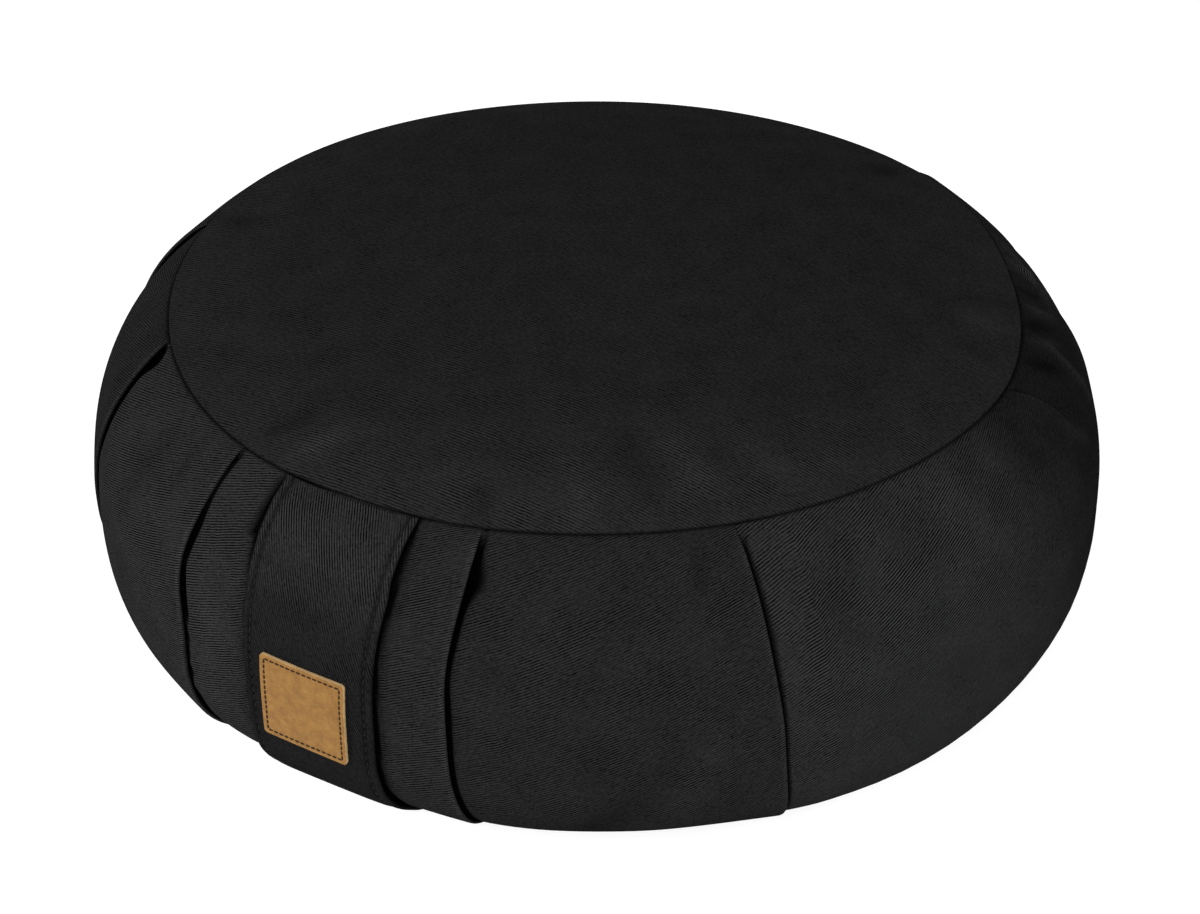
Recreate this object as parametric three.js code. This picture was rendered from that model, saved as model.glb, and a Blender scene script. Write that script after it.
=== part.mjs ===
// Round sitting cushion with a knife-pleated side band, a crowned top panel, a bottom panel,
// a flat carrying strap sewn from seam to seam and a small leather patch on the strap.
// Millimetres, +Z up. The cushion stands on z = 0 with its axis on z, and the strap faces -Y.
import * as THREE from 'three';

// Driving sizes of the filled shape
const CUSHION_RADIUS = 203;
const EQUATOR_HEIGHT = 57;
const TOP_SEAM_RADIUS = 167.5;
const TOP_SEAM_HEIGHT = 136;
const BOTTOM_SEAM_HEIGHT = 7;
const FOOT_RADIUS = 147;
const CROWN_RISE = 17.5;

// Powers of the curves from the widest point to the two seams, and of the crown
const UPPER_FULLNESS = 3;
const LOWER_FULLNESS = 3.4;
const CROWN_FULLNESS = 2.5;

// The filled shape is not quite round. One row per swelling (out above 0) or drawn-in place (below 0),
// in millimetres: its middle's azimuth in degrees and height, and how far it spreads round and up.
const SWELLINGS = [
  { azimuth: 0, height: 20, out: -4.2, round: 13, up: 70 },
  { azimuth: 66, height: 22, out: 3.0, round: 16, up: 34 },
  { azimuth: -42, height: 30, out: -2.0, round: 22, up: 60 },
  { azimuth: -19, height: 136, out: 1.2, round: 24, up: 40 },
  { azimuth: 36, height: 136, out: -1.8, round: 24, up: 40 },
  { azimuth: 94, height: 136, out: 1.6, round: 13, up: 40 },
  { azimuth: 126, height: 132, out: -2.4, round: 16, up: 46 },
  { azimuth: 154, height: 136, out: 1.8, round: 17, up: 40 },
  { azimuth: 211, height: 136, out: -1.6, round: 26, up: 40 },
  { azimuth: 261, height: 136, out: 2.4, round: 24, up: 40 },
];

// Cloth and the space left between neighbouring pieces
const PANEL_THICKNESS = 1.5;
const CLEARANCE = 0.3;

// The band ends a little inside the two seam heights, so that the panels' cut edges lie on it
const BAND_TOP = TOP_SEAM_HEIGHT - 2.6;
const BAND_BOTTOM = BOTTOM_SEAM_HEIGHT + 2;
const TOP_EDGE_HEIGHT = BAND_TOP + CLEARANCE;
const BOTTOM_EDGE_HEIGHT = BOTTOM_SEAM_HEIGHT + PANEL_THICKNESS;

// The swellings are whole above this height and fade to none at the bottom panel's edge
const SWELLING_FLOOR = 18;

// One row per knife pleat, anticlockwise seen from above. Each fold's edge lies over the panel that
// follows it. top, middle and bottom are the edge's azimuth in degrees, lift is how far the edge
// stands out, sink how far the next panel starts below the band's smooth surface, hole the extra
// sink just under the top seam, tuck how far the fold runs back under its edge, wave how far the
// edge wanders sideways, all in millimetres, and run the share of the band, from the top, it takes.
const PLEATS = [
  { top: -140, middle: -139, bottom: -140.5, lift: 1.5, sink: 4, hole: 0.5, tuck: 10, wave: 0.6, run: 1 },
  { top: -108, middle: -107, bottom: -106, lift: 1.5, sink: 3.8, hole: 0, tuck: 9, wave: 0.8, run: 1 },
  { top: -78.5, middle: -75, bottom: -74, lift: 1.6, sink: 4.2, hole: 0.5, tuck: 10, wave: 0.5, run: 1 },
  { top: -46.6, middle: -45, bottom: -45.9, lift: 1.8, sink: 4.4, hole: 1.2, tuck: 10, wave: 0.5, run: 1 },
  { top: -18.2, middle: -18.3, bottom: -16.1, lift: 1.8, sink: 4.6, hole: 0.6, tuck: 11, wave: 1.2, run: 1 },
  { top: 17.4, middle: 15.7, bottom: 18.8, lift: 2, sink: 5, hole: 2.4, tuck: 12, wave: 0.4, run: 1 },
  { top: 47.9, middle: 49.9, bottom: 51.5, lift: 1.3, sink: 3.4, hole: 0, tuck: 9, wave: 0.3, run: 1 },
  { top: 94.5, middle: 107, bottom: 107, lift: 1.6, sink: 4, hole: 1, tuck: 8, wave: 1, run: 0.3 },
  { top: 126, middle: 127.5, bottom: 126.5, lift: 1.5, sink: 3.8, hole: 0.4, tuck: 9, wave: 0.7, run: 1 },
  { top: 158, middle: 157, bottom: 158.5, lift: 1.7, sink: 4.2, hole: 0.6, tuck: 10, wave: 0.6, run: 1 },
  { top: 189, middle: 190, bottom: 189.5, lift: 1.5, sink: 4, hole: 0.3, tuck: 10, wave: 0.5, run: 1 },
];

// A fold's edge in section: from its crest round the nose, back to the end of the tuck and out to
// the next panel. across is measured anticlockwise from the nose and below from the crest, in
// millimetres; points marked tucked move back by the pleat's tuck. In the seams the fold is sewn
// flat, as a small step given by seamAcross and seamBelow. The row without below is the next panel.
const FOLD_SECTION = [
  { across: -1.3, below: 0.0, tucked: false, seamAcross: -1.3, seamBelow: 0.0 },
  { across: 0.0, below: 1.3, tucked: false, seamAcross: 0.0, seamBelow: 0.3 },
  { across: -1.3, below: 2.6, tucked: false, seamAcross: 0.3, seamBelow: 0.5 },
  { across: 0.0, below: 2.8, tucked: true, seamAcross: 0.6, seamBelow: 0.65 },
  { across: 0.0, below: 3.4, tucked: true, seamAcross: 0.9, seamBelow: 0.85 },
  { across: 0.5, below: null, tucked: false, seamAcross: 1.2, seamBelow: null },
];

// Depth of a shut fold's step, the share of the band's height over which a fold opens, the height
// and reach of the hole under the top seam as shares too, and the waves along an edge
const SEAM_STEP = 1;
const SEAM_MOUTH = 0.12;
const HOLE_HEIGHT = 0.86;
const HOLE_REACH = 0.12;
const WAVES_PER_EDGE = 2.5;

// Shares of a panel's width at which the band has a column of points, and the widths over which
// a panel climbs out from under one fold and rises into the next
const PANEL_SHARES = [0.04, 0.1, 0.19, 0.32, 0.5, 0.68, 0.84, 0.94];
const CLIMB_WIDTH = 26;
const RISE_WIDTH = 24;

// Rows of the band from seam to seam, how strongly they crowd towards the seams, and the short
// step of height over which the band's slope is taken
const BAND_STEPS = 18;
const ROW_CROWDING = 0.55;
const SLOPE_STEP = 0.5;

// Rings of the top panel and of the filling under it, as shares of the seam's radius, rings of the
// bottom panel's rim, as shares of the bottom seam's height, and points round each panel
const TOP_RING_SHARES = [0.93, 0.78, 0.6, 0.4, 0.2];
const FILLING_RING_SHARES = [0.88, 0.6, 0.3];
const RIM_HEIGHT_SHARES = [0.3, 0.65, 1];
const PANEL_COLUMNS = 72;

// Carrying strap: doubled cloth with turned edges, thinner where it goes into the seams
const STRAP_WIDTH = 57;
const STRAP_THICKNESS = 2.6;
const STRAP_END_THICKNESS = 1.2;
const STRAP_EDGE_ROUND = 0.8;
const STRAP_EDGE_STAND = 0.8;
const STRAP_END_INSET = 0.6;
const STRAP_TOP = BAND_TOP - STRAP_END_INSET;
const STRAP_BOTTOM = BAND_BOTTOM + STRAP_END_INSET;
const STRAP_STEPS = 24;
const STRAP_TAPER_SHARE = 0.1;
const STRAP_FACE_SHARES = [-1, -0.5, 0, 0.5, 1];

// Leather patch on the strap
const PATCH_SIDE = 36.6;
const PATCH_THICKNESS = 1.6;
const PATCH_CORNER_RADIUS = 2;
const PATCH_EDGE_ROUND = 0.4;
const PATCH_HEIGHT = 64.4;
const PATCH_RING_SHARES = [0.5, 0.8];
const PATCH_CORNER_STEPS = 3;
const PATCH_SIDE_STEPS = 3;

const TWILL = { color: 0x1d1d1f, roughness: 0.95, metalness: 0 };
const LEATHER = { color: 0xb2824a, roughness: 0.6, metalness: 0 };

const { degToRad, lerp, smoothstep } = THREE.MathUtils;

// A point at an azimuth (radians, anticlockwise from -Y), a distance from the axis and a height
function polar(azimuth, radius, height) {
  return new THREE.Vector3(radius * Math.sin(azimuth), -radius * Math.cos(azimuth), height);
}

// Radius of the band's smooth surface at a height
function sideRadius(height) {
  if (height >= EQUATOR_HEIGHT) {
    const climb = (height - EQUATOR_HEIGHT) / (TOP_SEAM_HEIGHT - EQUATOR_HEIGHT);
    return CUSHION_RADIUS - (CUSHION_RADIUS - TOP_SEAM_RADIUS) * climb ** UPPER_FULLNESS;
  }
  const fall = (EQUATOR_HEIGHT - height) / EQUATOR_HEIGHT;
  return CUSHION_RADIUS - (CUSHION_RADIUS - FOOT_RADIUS) * fall ** LOWER_FULLNESS;
}

// How far the swellings move the surface out at an azimuth and height; they fade to none at the foot
function swelling(azimuth, height) {
  const total = SWELLINGS.reduce((sum, place) => {
    const apart = azimuth - degToRad(place.azimuth);
    const round = Math.atan2(Math.sin(apart), Math.cos(apart)) / degToRad(place.round);
    const up = (height - place.height) / place.up;
    return sum + place.out * Math.exp(-(round ** 2) - up ** 2);
  }, 0);
  return total * smoothstep(height, BOTTOM_EDGE_HEIGHT, SWELLING_FLOOR);
}

// A point of the band, offset outwards along the surface's normal in the upright plane
function bandPoint(azimuth, height, offset) {
  const rise = sideRadius(height + SLOPE_STEP) - sideRadius(height - SLOPE_STEP);
  const slope = rise / (2 * SLOPE_STEP);
  const length = Math.hypot(1, slope);
  const radius = sideRadius(height) + swelling(azimuth, height) + offset / length;
  return polar(azimuth, radius, height - (offset * slope) / length);
}

// Height of the top panel's upper face at a radius
function crownHeight(radius) {
  return TOP_SEAM_HEIGHT + CROWN_RISE * (1 - (radius / TOP_SEAM_RADIUS) ** CROWN_FULLNESS);
}

// A point a drop below the crown, whose rings follow the seam's swellings in step with their radius
function crownPoint(azimuth, radius, drop) {
  const outward = (swelling(azimuth, TOP_SEAM_HEIGHT) * radius) / TOP_SEAM_RADIUS;
  return polar(azimuth, radius + outward, crownHeight(radius) - drop);
}

// A closed body lofted through loops of equal length, drawn anticlockwise seen from above or from
// the loft's far end, and closed at both ends by a fan round the given middle points
function loftGeometry(startMiddle, loops, endMiddle) {
  const columns = loops[0].length;
  const points = [startMiddle, ...loops.flat(), endMiddle];
  const last = points.length - 1;
  const index = [];
  const at = (row, column) => 1 + row * columns + (column % columns);
  for (let column = 0; column < columns; column += 1) {
    index.push(0, at(0, column + 1), at(0, column));
    for (let row = 0; row + 1 < loops.length; row += 1) {
      index.push(at(row, column), at(row, column + 1), at(row + 1, column));
      index.push(at(row, column + 1), at(row + 1, column + 1), at(row + 1, column));
    }
    index.push(at(loops.length - 1, column), at(loops.length - 1, column + 1), last);
  }
  const geometry = new THREE.BufferGeometry().setFromPoints(points);
  geometry.setIndex(index);
  geometry.computeVertexNormals();
  return geometry;
}

// How open a pleat is at a share of the band's height: shut in both seams, and below its run
function openness(pleat, share) {
  const underTop = smoothstep(1 - share, 0, SEAM_MOUTH);
  const end = 1 - pleat.run;
  return underTop * smoothstep(share, end, end + SEAM_MOUTH);
}

// How much of a shut pleat's step is there: all of it in the seams, none well below a short run
function stepPresence(pleat, share) {
  const end = 1 - pleat.run;
  return smoothstep(share, end - SEAM_MOUTH, end);
}

// Azimuth of a pleat's edge at a share of the band's height: a parabola through its three places,
// with the edge's own wander
function edgeAzimuth(pleat, share, radius) {
  const bend = 4 * share * (1 - share);
  const straight = lerp(pleat.bottom, pleat.top, share);
  const middle = pleat.middle - (pleat.bottom + pleat.top) / 2;
  const wander = (pleat.wave * Math.sin(2 * Math.PI * WAVES_PER_EDGE * share)) / radius;
  return degToRad(straight + middle * bend) + wander * bend;
}

// How far the panel after a pleat starts below the smooth surface
function panelSink(pleat, share) {
  const hole = pleat.hole * Math.exp(-(((share - HOLE_HEIGHT) / HOLE_REACH) ** 2));
  return lerp(SEAM_STEP * stepPresence(pleat, share), pleat.sink + hole, openness(pleat, share));
}

// Columns of one folded edge: azimuth and offset from the smooth surface
function foldColumns(pleat, share, radius) {
  const open = openness(pleat, share);
  const step = stepPresence(pleat, share);
  const nose = edgeAzimuth(pleat, share, radius);
  return FOLD_SECTION.map((point) => {
    const reach = point.across - (point.tucked ? pleat.tuck : 0);
    const across = lerp(point.seamAcross, reach, open);
    const below = lerp(point.seamBelow * step, point.below, open);
    const offset = point.below === null ? -panelSink(pleat, share) : pleat.lift * open - below;
    return { azimuth: nose + across / radius, offset };
  });
}

// Columns of the panel between two folds: sunk beside the first, rising to the second
function panelColumns(pleat, next, turn, share, radius) {
  const start = foldColumns(pleat, share, radius).at(-1).azimuth;
  const end = foldColumns(next, share, radius)[0].azimuth + turn;
  const width = (end - start) * radius;
  const sink = panelSink(pleat, share);
  const lift = next.lift * openness(next, share);
  return PANEL_SHARES.map((along) => {
    const climb = Math.max(0, 1 - (along * width) / CLIMB_WIDTH) ** 2;
    const rise = Math.max(0, 1 - ((1 - along) * width) / RISE_WIDTH) ** 2;
    return { azimuth: lerp(start, end, along), offset: lift * rise - sink * climb };
  });
}

// All columns round the band at a share of its height
function bandColumns(share, radius) {
  return PLEATS.flatMap((pleat, index) => {
    const last = index + 1 === PLEATS.length;
    const next = PLEATS[last ? 0 : index + 1];
    const turn = last ? 2 * Math.PI : 0;
    return [...foldColumns(pleat, share, radius), ...panelColumns(pleat, next, turn, share, radius)];
  });
}

// Shares of the height at which rows lie, closer together towards the two seams
function rowShares(steps) {
  return Array.from({ length: steps + 1 }, (_, step) => {
    const even = step / steps;
    const crowded = (1 - Math.cos(Math.PI * even)) / 2;
    return lerp(even, crowded, ROW_CROWDING);
  });
}

// The filled cushion: pleated band, and the filling's faces just inside the two panels
function cushionBody() {
  const bandLoops = rowShares(BAND_STEPS).map((share) => {
    const height = lerp(BAND_BOTTOM, BAND_TOP, share);
    const columns = bandColumns(share, sideRadius(height));
    return columns.map(({ azimuth, offset }) => bandPoint(azimuth, height, offset));
  });
  const inset = PANEL_THICKNESS + CLEARANCE;
  const azimuths = (share, height) =>
    bandColumns(share, sideRadius(height)).map((column) => column.azimuth);
  const topAzimuths = azimuths(1, BAND_TOP);
  const topLoops = FILLING_RING_SHARES.map((share) => {
    const radius = TOP_SEAM_RADIUS * share;
    return topAzimuths.map((azimuth) => crownPoint(azimuth, radius, inset));
  });
  const bottomAzimuths = azimuths(0, BAND_BOTTOM);
  const bottomLoops = bottomRings().map(({ radius, height }) =>
    bottomAzimuths.map((azimuth) => polar(azimuth, radius, height + inset)),
  );
  const loops = [...bottomLoops, ...bandLoops, ...topLoops];
  const bottomMiddle = new THREE.Vector3(0, 0, inset);
  const topMiddle = new THREE.Vector3(0, 0, crownHeight(0) - inset);
  return loftGeometry(bottomMiddle, loops, topMiddle);
}

// Evenly spaced azimuths of the two round panels
function panelAzimuths() {
  return Array.from({ length: PANEL_COLUMNS }, (_, column) => (2 * Math.PI * column) / PANEL_COLUMNS);
}

// Rings of the bottom panel's lower face: the flat foot, then the rim that curls up to the seam
function bottomRings() {
  return [0, ...RIM_HEIGHT_SHARES].map((share) => {
    const height = BOTTOM_SEAM_HEIGHT * share;
    return { radius: sideRadius(height), height };
  });
}

// Crowned round of cloth sewn to the top of the band; its cut edge follows the band's slope
function topPanel() {
  const azimuths = panelAzimuths();
  const ring = (share, drop) =>
    azimuths.map((azimuth) => crownPoint(azimuth, TOP_SEAM_RADIUS * share, drop));
  const lower = TOP_RING_SHARES.toReversed().map((share) => ring(share, PANEL_THICKNESS));
  const lowerEdge = azimuths.map((azimuth) => bandPoint(azimuth, TOP_EDGE_HEIGHT, 0));
  const upper = [1, ...TOP_RING_SHARES].map((share) => ring(share, 0));
  const lowerMiddle = new THREE.Vector3(0, 0, crownHeight(0) - PANEL_THICKNESS);
  const upperMiddle = new THREE.Vector3(0, 0, crownHeight(0));
  return loftGeometry(lowerMiddle, [...lower, lowerEdge, ...upper], upperMiddle);
}

// Round of cloth under the cushion: flat where it stands, curling up at the rim to the bottom seam
function bottomPanel() {
  const azimuths = panelAzimuths();
  const rings = bottomRings();
  const ring = (radius, height) => azimuths.map((azimuth) => polar(azimuth, radius, height));
  const lower = rings.map(({ radius, height }) => ring(radius, height));
  const upperEdge = ring(sideRadius(BOTTOM_EDGE_HEIGHT), BOTTOM_EDGE_HEIGHT);
  const inner = rings.slice(0, -1).toReversed();
  const upper = inner.map(({ radius, height }) => ring(radius, height + PANEL_THICKNESS));
  const lowerMiddle = new THREE.Vector3(0, 0, 0);
  const upperMiddle = new THREE.Vector3(0, 0, PANEL_THICKNESS);
  return loftGeometry(lowerMiddle, [...lower, upperEdge, ...upper], upperMiddle);
}

// Offset of the strap's inner face from the band; across runs from -1 to 1 between its edges
function strapInner(across) {
  return CLEARANCE + STRAP_EDGE_STAND * across ** 2;
}

// Thickness of the strap at a share of its length: thin at both ends, where it goes into a seam
function strapThickness(share) {
  const fromEnd = Math.min(share, 1 - share);
  return lerp(STRAP_END_THICKNESS, STRAP_THICKNESS, smoothstep(fromEnd, 0, STRAP_TAPER_SHARE));
}

// Share of the strap's length at a height
function strapShare(height) {
  return (height - STRAP_BOTTOM) / (STRAP_TOP - STRAP_BOTTOM);
}

// Doubled strap of cloth from the top seam round the side to the bottom seam
function handleStrap() {
  const half = STRAP_WIDTH / 2;
  const faceHalf = half - STRAP_EDGE_ROUND;
  const section = (height) => {
    const radius = sideRadius(height) + STRAP_THICKNESS / 2;
    const thickness = strapThickness(strapShare(height));
    const point = (across, depth) =>
      bandPoint(across / radius, height, strapInner(across / half) + thickness * depth);
    const outer = STRAP_FACE_SHARES.map((share) => point(share * faceHalf, 1));
    const inner = STRAP_FACE_SHARES.toReversed().map((share) => point(share * faceHalf, 0));
    return [...outer, point(half, 0.5), ...inner, point(-half, 0.5)];
  };
  const middle = (height) => bandPoint(0, height, CLEARANCE + strapThickness(strapShare(height)) / 2);
  const loops = rowShares(STRAP_STEPS).map((share) => section(lerp(STRAP_BOTTOM, STRAP_TOP, share)));
  return loftGeometry(middle(STRAP_BOTTOM), loops, middle(STRAP_TOP));
}

// Outline of the patch in its own plane: a square with rounded corners, anticlockwise
function patchOutline(scale, inset) {
  const half = PATCH_SIDE / 2 - inset;
  const radius = PATCH_CORNER_RADIUS - inset;
  const corners = [[1, -1], [1, 1], [-1, 1], [-1, -1]];
  return corners.flatMap(([sideX, sideY], corner) => {
    const centre = new THREE.Vector2(sideX, sideY).multiplyScalar(half - radius);
    const start = ((corner - 1) * Math.PI) / 2;
    const arc = Array.from({ length: PATCH_CORNER_STEPS + 1 }, (_, step) => {
      const angle = start + (step * Math.PI) / 2 / PATCH_CORNER_STEPS;
      const spoke = new THREE.Vector2(Math.cos(angle), Math.sin(angle)).multiplyScalar(radius);
      return centre.clone().add(spoke);
    });
    const [nextX, nextY] = corners[(corner + 1) % corners.length];
    const sideEnd = new THREE.Vector2(nextX, nextY).multiplyScalar(half - radius)
      .add(arc.at(-1).clone().sub(centre));
    const side = Array.from({ length: PATCH_SIDE_STEPS - 1 }, (_, step) =>
      arc.at(-1).clone().lerp(sideEnd, (step + 1) / PATCH_SIDE_STEPS),
    );
    return [...arc, ...side].map((point) => point.multiplyScalar(scale));
  });
}

// Leather patch lying on the strap's outer face
function leatherPatch() {
  const radius = sideRadius(PATCH_HEIGHT) + STRAP_THICKNESS + PATCH_THICKNESS;
  const place = (point, depth) => {
    const height = PATCH_HEIGHT + point.y;
    const strapOuter = strapInner((2 * point.x) / STRAP_WIDTH) + strapThickness(strapShare(height));
    return bandPoint(point.x / radius, height, strapOuter + CLEARANCE + depth);
  };
  const ring = (scale, inset, depth) => patchOutline(scale, inset).map((point) => place(point, depth));
  const loops = [
    ...PATCH_RING_SHARES.map((share) => ring(share, 0, 0)),
    ring(1, PATCH_EDGE_ROUND, 0),
    ring(1, 0, PATCH_EDGE_ROUND),
    ring(1, 0, PATCH_THICKNESS - PATCH_EDGE_ROUND),
    ring(1, PATCH_EDGE_ROUND, PATCH_THICKNESS),
    ...PATCH_RING_SHARES.toReversed().map((share) => ring(share, 0, PATCH_THICKNESS)),
  ];
  const middle = new THREE.Vector2(0, 0);
  return loftGeometry(place(middle, 0), loops, place(middle, PATCH_THICKNESS));
}

function piece(name, geometry, look) {
  const mesh = new THREE.Mesh(geometry, new THREE.MeshStandardMaterial(look));
  mesh.name = name;
  return mesh;
}

const cushion = new THREE.Group();
cushion.add(
  piece('cushion_body', cushionBody(), TWILL),
  piece('top_panel', topPanel(), TWILL),
  piece('bottom_panel', bottomPanel(), TWILL),
  piece('handle_strap', handleStrap(), TWILL),
  piece('leather_patch', leatherPatch(), LEATHER),
);

export default cushion;
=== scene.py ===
import math
from collections import namedtuple

import bpy
import numpy as np
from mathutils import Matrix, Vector


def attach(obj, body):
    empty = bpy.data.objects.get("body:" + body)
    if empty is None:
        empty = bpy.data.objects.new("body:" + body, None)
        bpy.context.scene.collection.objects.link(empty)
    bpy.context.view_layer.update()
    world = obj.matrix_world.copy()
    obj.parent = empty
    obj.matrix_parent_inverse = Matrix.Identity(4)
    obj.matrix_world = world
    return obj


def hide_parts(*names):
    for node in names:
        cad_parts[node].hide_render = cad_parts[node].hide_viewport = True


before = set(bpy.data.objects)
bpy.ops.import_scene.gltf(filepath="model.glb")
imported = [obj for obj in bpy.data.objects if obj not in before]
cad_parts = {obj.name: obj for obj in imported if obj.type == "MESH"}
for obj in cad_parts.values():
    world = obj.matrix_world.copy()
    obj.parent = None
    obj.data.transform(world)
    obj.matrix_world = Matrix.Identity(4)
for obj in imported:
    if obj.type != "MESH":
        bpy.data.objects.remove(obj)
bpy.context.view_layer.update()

# Filled cushion with its pleated side band
# A tube of black cotton twill, laid in knife pleats and sewn between the two round panels, then
# packed tight with loose hulls. Each fold's edge lies over the panel that follows it.
MM = 0.001
CUSHION_RADIUS = 203 * MM
EQUATOR_HEIGHT = 57 * MM
TOP_SEAM_RADIUS = 167.5 * MM
TOP_SEAM_HEIGHT = 136 * MM
BOTTOM_SEAM_HEIGHT = 7 * MM
FOOT_RADIUS = 147 * MM
CROWN_RISE = 17.5 * MM
UPPER_FULLNESS = 3
LOWER_FULLNESS = 3.4
CROWN_FULLNESS = 2.5
SWELLING_FLOOR = 18 * MM
SEAM_GAP = 0.35 * MM
BAND_TOP = TOP_SEAM_HEIGHT - SEAM_GAP
BAND_BOTTOM = BOTTOM_SEAM_HEIGHT + SEAM_GAP


# Rows of named values; the columns that are named as lengths are given in millimetres
def in_metres(kind, lengths, rows):
    scales = [MM if column in lengths.split() else 1 for column in kind._fields]
    return [kind(*(value * scale for value, scale in zip(row, scales))) for row in rows]


# Places where the filling stands out or is drawn in: azimuth, height, distance, spread round, spread up
Swelling = namedtuple("Swelling", "azimuth height out round up")
SWELLINGS = in_metres(Swelling, "height out up", [
    (0, 20, -4.2, 13, 70),
    (66, 22, 3.0, 16, 34),
    (-42, 30, -2.0, 22, 60),
    (-19, 136, 1.2, 24, 40),
    (36, 136, -1.8, 24, 40),
    (94, 136, 1.6, 13, 40),
    (126, 132, -2.4, 16, 46),
    (154, 136, 1.8, 17, 40),
    (211, 136, -1.6, 26, 40),
    (261, 136, 2.4, 24, 40),
])

# Knife pleats, anticlockwise seen from above: the edge's azimuth at top, middle and bottom, how far
# the edge stands out, how deep the next panel starts, how far the fold runs back, how far the edge
# wanders, the share of the band it takes, the share over which it opens below the top seam, and the
# light and shade painted on the next panel where it starts and where it ends
Pleat = namedtuple("Pleat", "top middle bottom lift sink tuck wave run mouth tone end_tone")
PLEATS = in_metres(Pleat, "lift sink tuck wave", [
    (-140, -139, -140.5, 1.3, 4.0, 10, 0.6, 1, 0.05, 0.95, 1.0),
    (-108, -107, -106, 1.3, 3.8, 9, 0.8, 1, 0.08, 1.0, 1.0),
    (-78.5, -75, -74, 1.4, 4.2, 10, 0.5, 1, 0.04, 0.86, 0.8),
    (-46.6, -47.2, -59, 0.8, 4.4, 10, 0.3, 1, 0.03, 1.12, 1.16),
    (-18.2, -18.3, -16.1, 1.3, 4.6, 11, 1.2, 1, 0.03, 1.2, 1.03),
    (17.4, 15.7, 18.8, 1.5, 5.0, 12, 0.4, 1, 0.04, 0.93, 0.95),
    (47.9, 49.9, 51.5, 1.6, 3.4, 9, 0.3, 1, 0.06, 1.25, 0.58),
    (96.3, 110, 112, 2.0, 4.0, 8, 2.0, 0.2, 0.05, 0.55, 0.7),
    (128, 124.5, 124, 1.0, 3.8, 9, 0.5, 1, 0.06, 0.9, 0.95),
    (158, 157, 158.5, 1.0, 4.2, 10, 0.6, 1, 0.05, 1.0, 1.0),
    (189, 190, 189.5, 1.3, 4.0, 10, 0.5, 1, 0.06, 0.97, 0.95),
])

# The pleat whose panel lies under the strap, by its top azimuth
STRAP_PLEAT = -18.2

# The fold's edge is doubled cloth turned round a small nose; in the seams it is sewn flat
NOSE_ROUND = 0.85 * MM
NOSE_ANGLES = np.radians([90, 55, 20, -20, -55, -90])
ROOF_STEPS = 2
FLOOR_STEPS = 4
FOLD_CLOTH = 0.45 * MM
SEAM_STEP = 1.0 * MM
SEAM_HALF = 1.1 * MM
BOTTOM_MOUTH = 0.2
SHORT_MOUTH = 0.12
POCKET_DEPTH = 2.0 * MM
HOLE_WIDENING = 1.3
WAVES_PER_EDGE = 2.5
MOUTH_REACH = 0.4 * MM
STEEP_SHARE = 0.86
STEEP_WIDTH = 1.8 * MM
BROAD_WIDTH = 30 * MM
RISE_WIDTH = 26 * MM
NEAR_COLUMNS = np.array([0.6, 1.3, 2.1, 3.1, 4.6, 7.0, 11.0, 17.0]) * MM
FAR_COLUMNS = np.array([13.0, 7.5, 4.0, 1.8]) * MM
OPEN_SHARES = np.linspace(0, 1, 9)[1:-1]
STRAP_PANEL_SHARES = np.concatenate([
    [0.05], np.linspace(0.105, 0.235, 10), np.linspace(0.3, 0.72, 7), np.linspace(0.785, 0.885, 8), [0.94]])
SHORT_PANEL_SHARES = np.linspace(0, 1, 17)[1:-1]
BAND_ROWS = 57
ROW_CROWDING = 0.55
SLOPE_STEP = 0.5 * MM

# Painted light and shade: black painted shade inside a fold and on its way out, a painted highlight on the
# nose, painted shade in the seams
GAP_PAINTED_SHADE = 0.08
GAP_FADE = 0.7
LIP_PAINTED_TONES = np.array([1.35, 1.35, 1.15, 0.5, 0.2, GAP_PAINTED_SHADE, GAP_PAINTED_SHADE, GAP_PAINTED_SHADE, GAP_PAINTED_SHADE])
TONE_FADE_START = 0.48
SEAM_PAINTED_SHADE = 0.6
SEAM_SHADE = 0.4 * MM


def smooth_step(value, low, high):
    share = np.clip((value - low) / (high - low), 0, 1)
    return share * share * (3 - 2 * share)


def blend(first, second, share):
    return first + (second - first) * share


# One at a middle, falling away to nothing within about two widths of it
def hump(value, middle, width):
    return np.exp(-(((value - middle) / width) ** 2))


# A point at an azimuth (radians, anticlockwise from -Y), a distance from the axis and a height
def polar(azimuth, radius, height):
    x, y, z = np.broadcast_arrays(radius * np.sin(azimuth), -radius * np.cos(azimuth), height)
    return np.stack([x, y, z], axis=-1)


# Radius of the band's smooth surface at a height
def side_radius(height):
    climb = np.clip((height - EQUATOR_HEIGHT) / (TOP_SEAM_HEIGHT - EQUATOR_HEIGHT), 0, None)
    fall = np.clip((EQUATOR_HEIGHT - height) / EQUATOR_HEIGHT, 0, None)
    upper = (CUSHION_RADIUS - TOP_SEAM_RADIUS) * climb ** UPPER_FULLNESS
    lower = (CUSHION_RADIUS - FOOT_RADIUS) * fall ** LOWER_FULLNESS
    return CUSHION_RADIUS - upper - lower


# How far the swellings move the surface out; they fade to none at the foot
def swelling(azimuth, height):
    total = 0
    for place in SWELLINGS:
        apart = azimuth - math.radians(place.azimuth)
        round_share = np.arctan2(np.sin(apart), np.cos(apart)) / math.radians(place.round)
        up_share = (height - place.height) / place.up
        total = total + place.out * np.exp(-(round_share ** 2) - up_share ** 2)
    return total * smooth_step(height, BAND_BOTTOM, SWELLING_FLOOR)


# A point of the band, offset outwards along the surface's normal in the upright plane
def band_point(azimuth, height, offset):
    slope = (side_radius(height + SLOPE_STEP) - side_radius(height - SLOPE_STEP)) / (2 * SLOPE_STEP)
    length = np.hypot(1, slope)
    radius = side_radius(height) + swelling(azimuth, height) + offset / length
    return polar(azimuth, radius, height - offset * slope / length)


# How open a pleat is at shares of the band's height: shut in both seams, and below its run
def openness(pleat, share):
    end = 1 - pleat.run
    mouth = BOTTOM_MOUTH if pleat.run == 1 else SHORT_MOUTH
    return smooth_step(1 - share, 0, pleat.mouth) * smooth_step(share, end, end + mouth)


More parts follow.
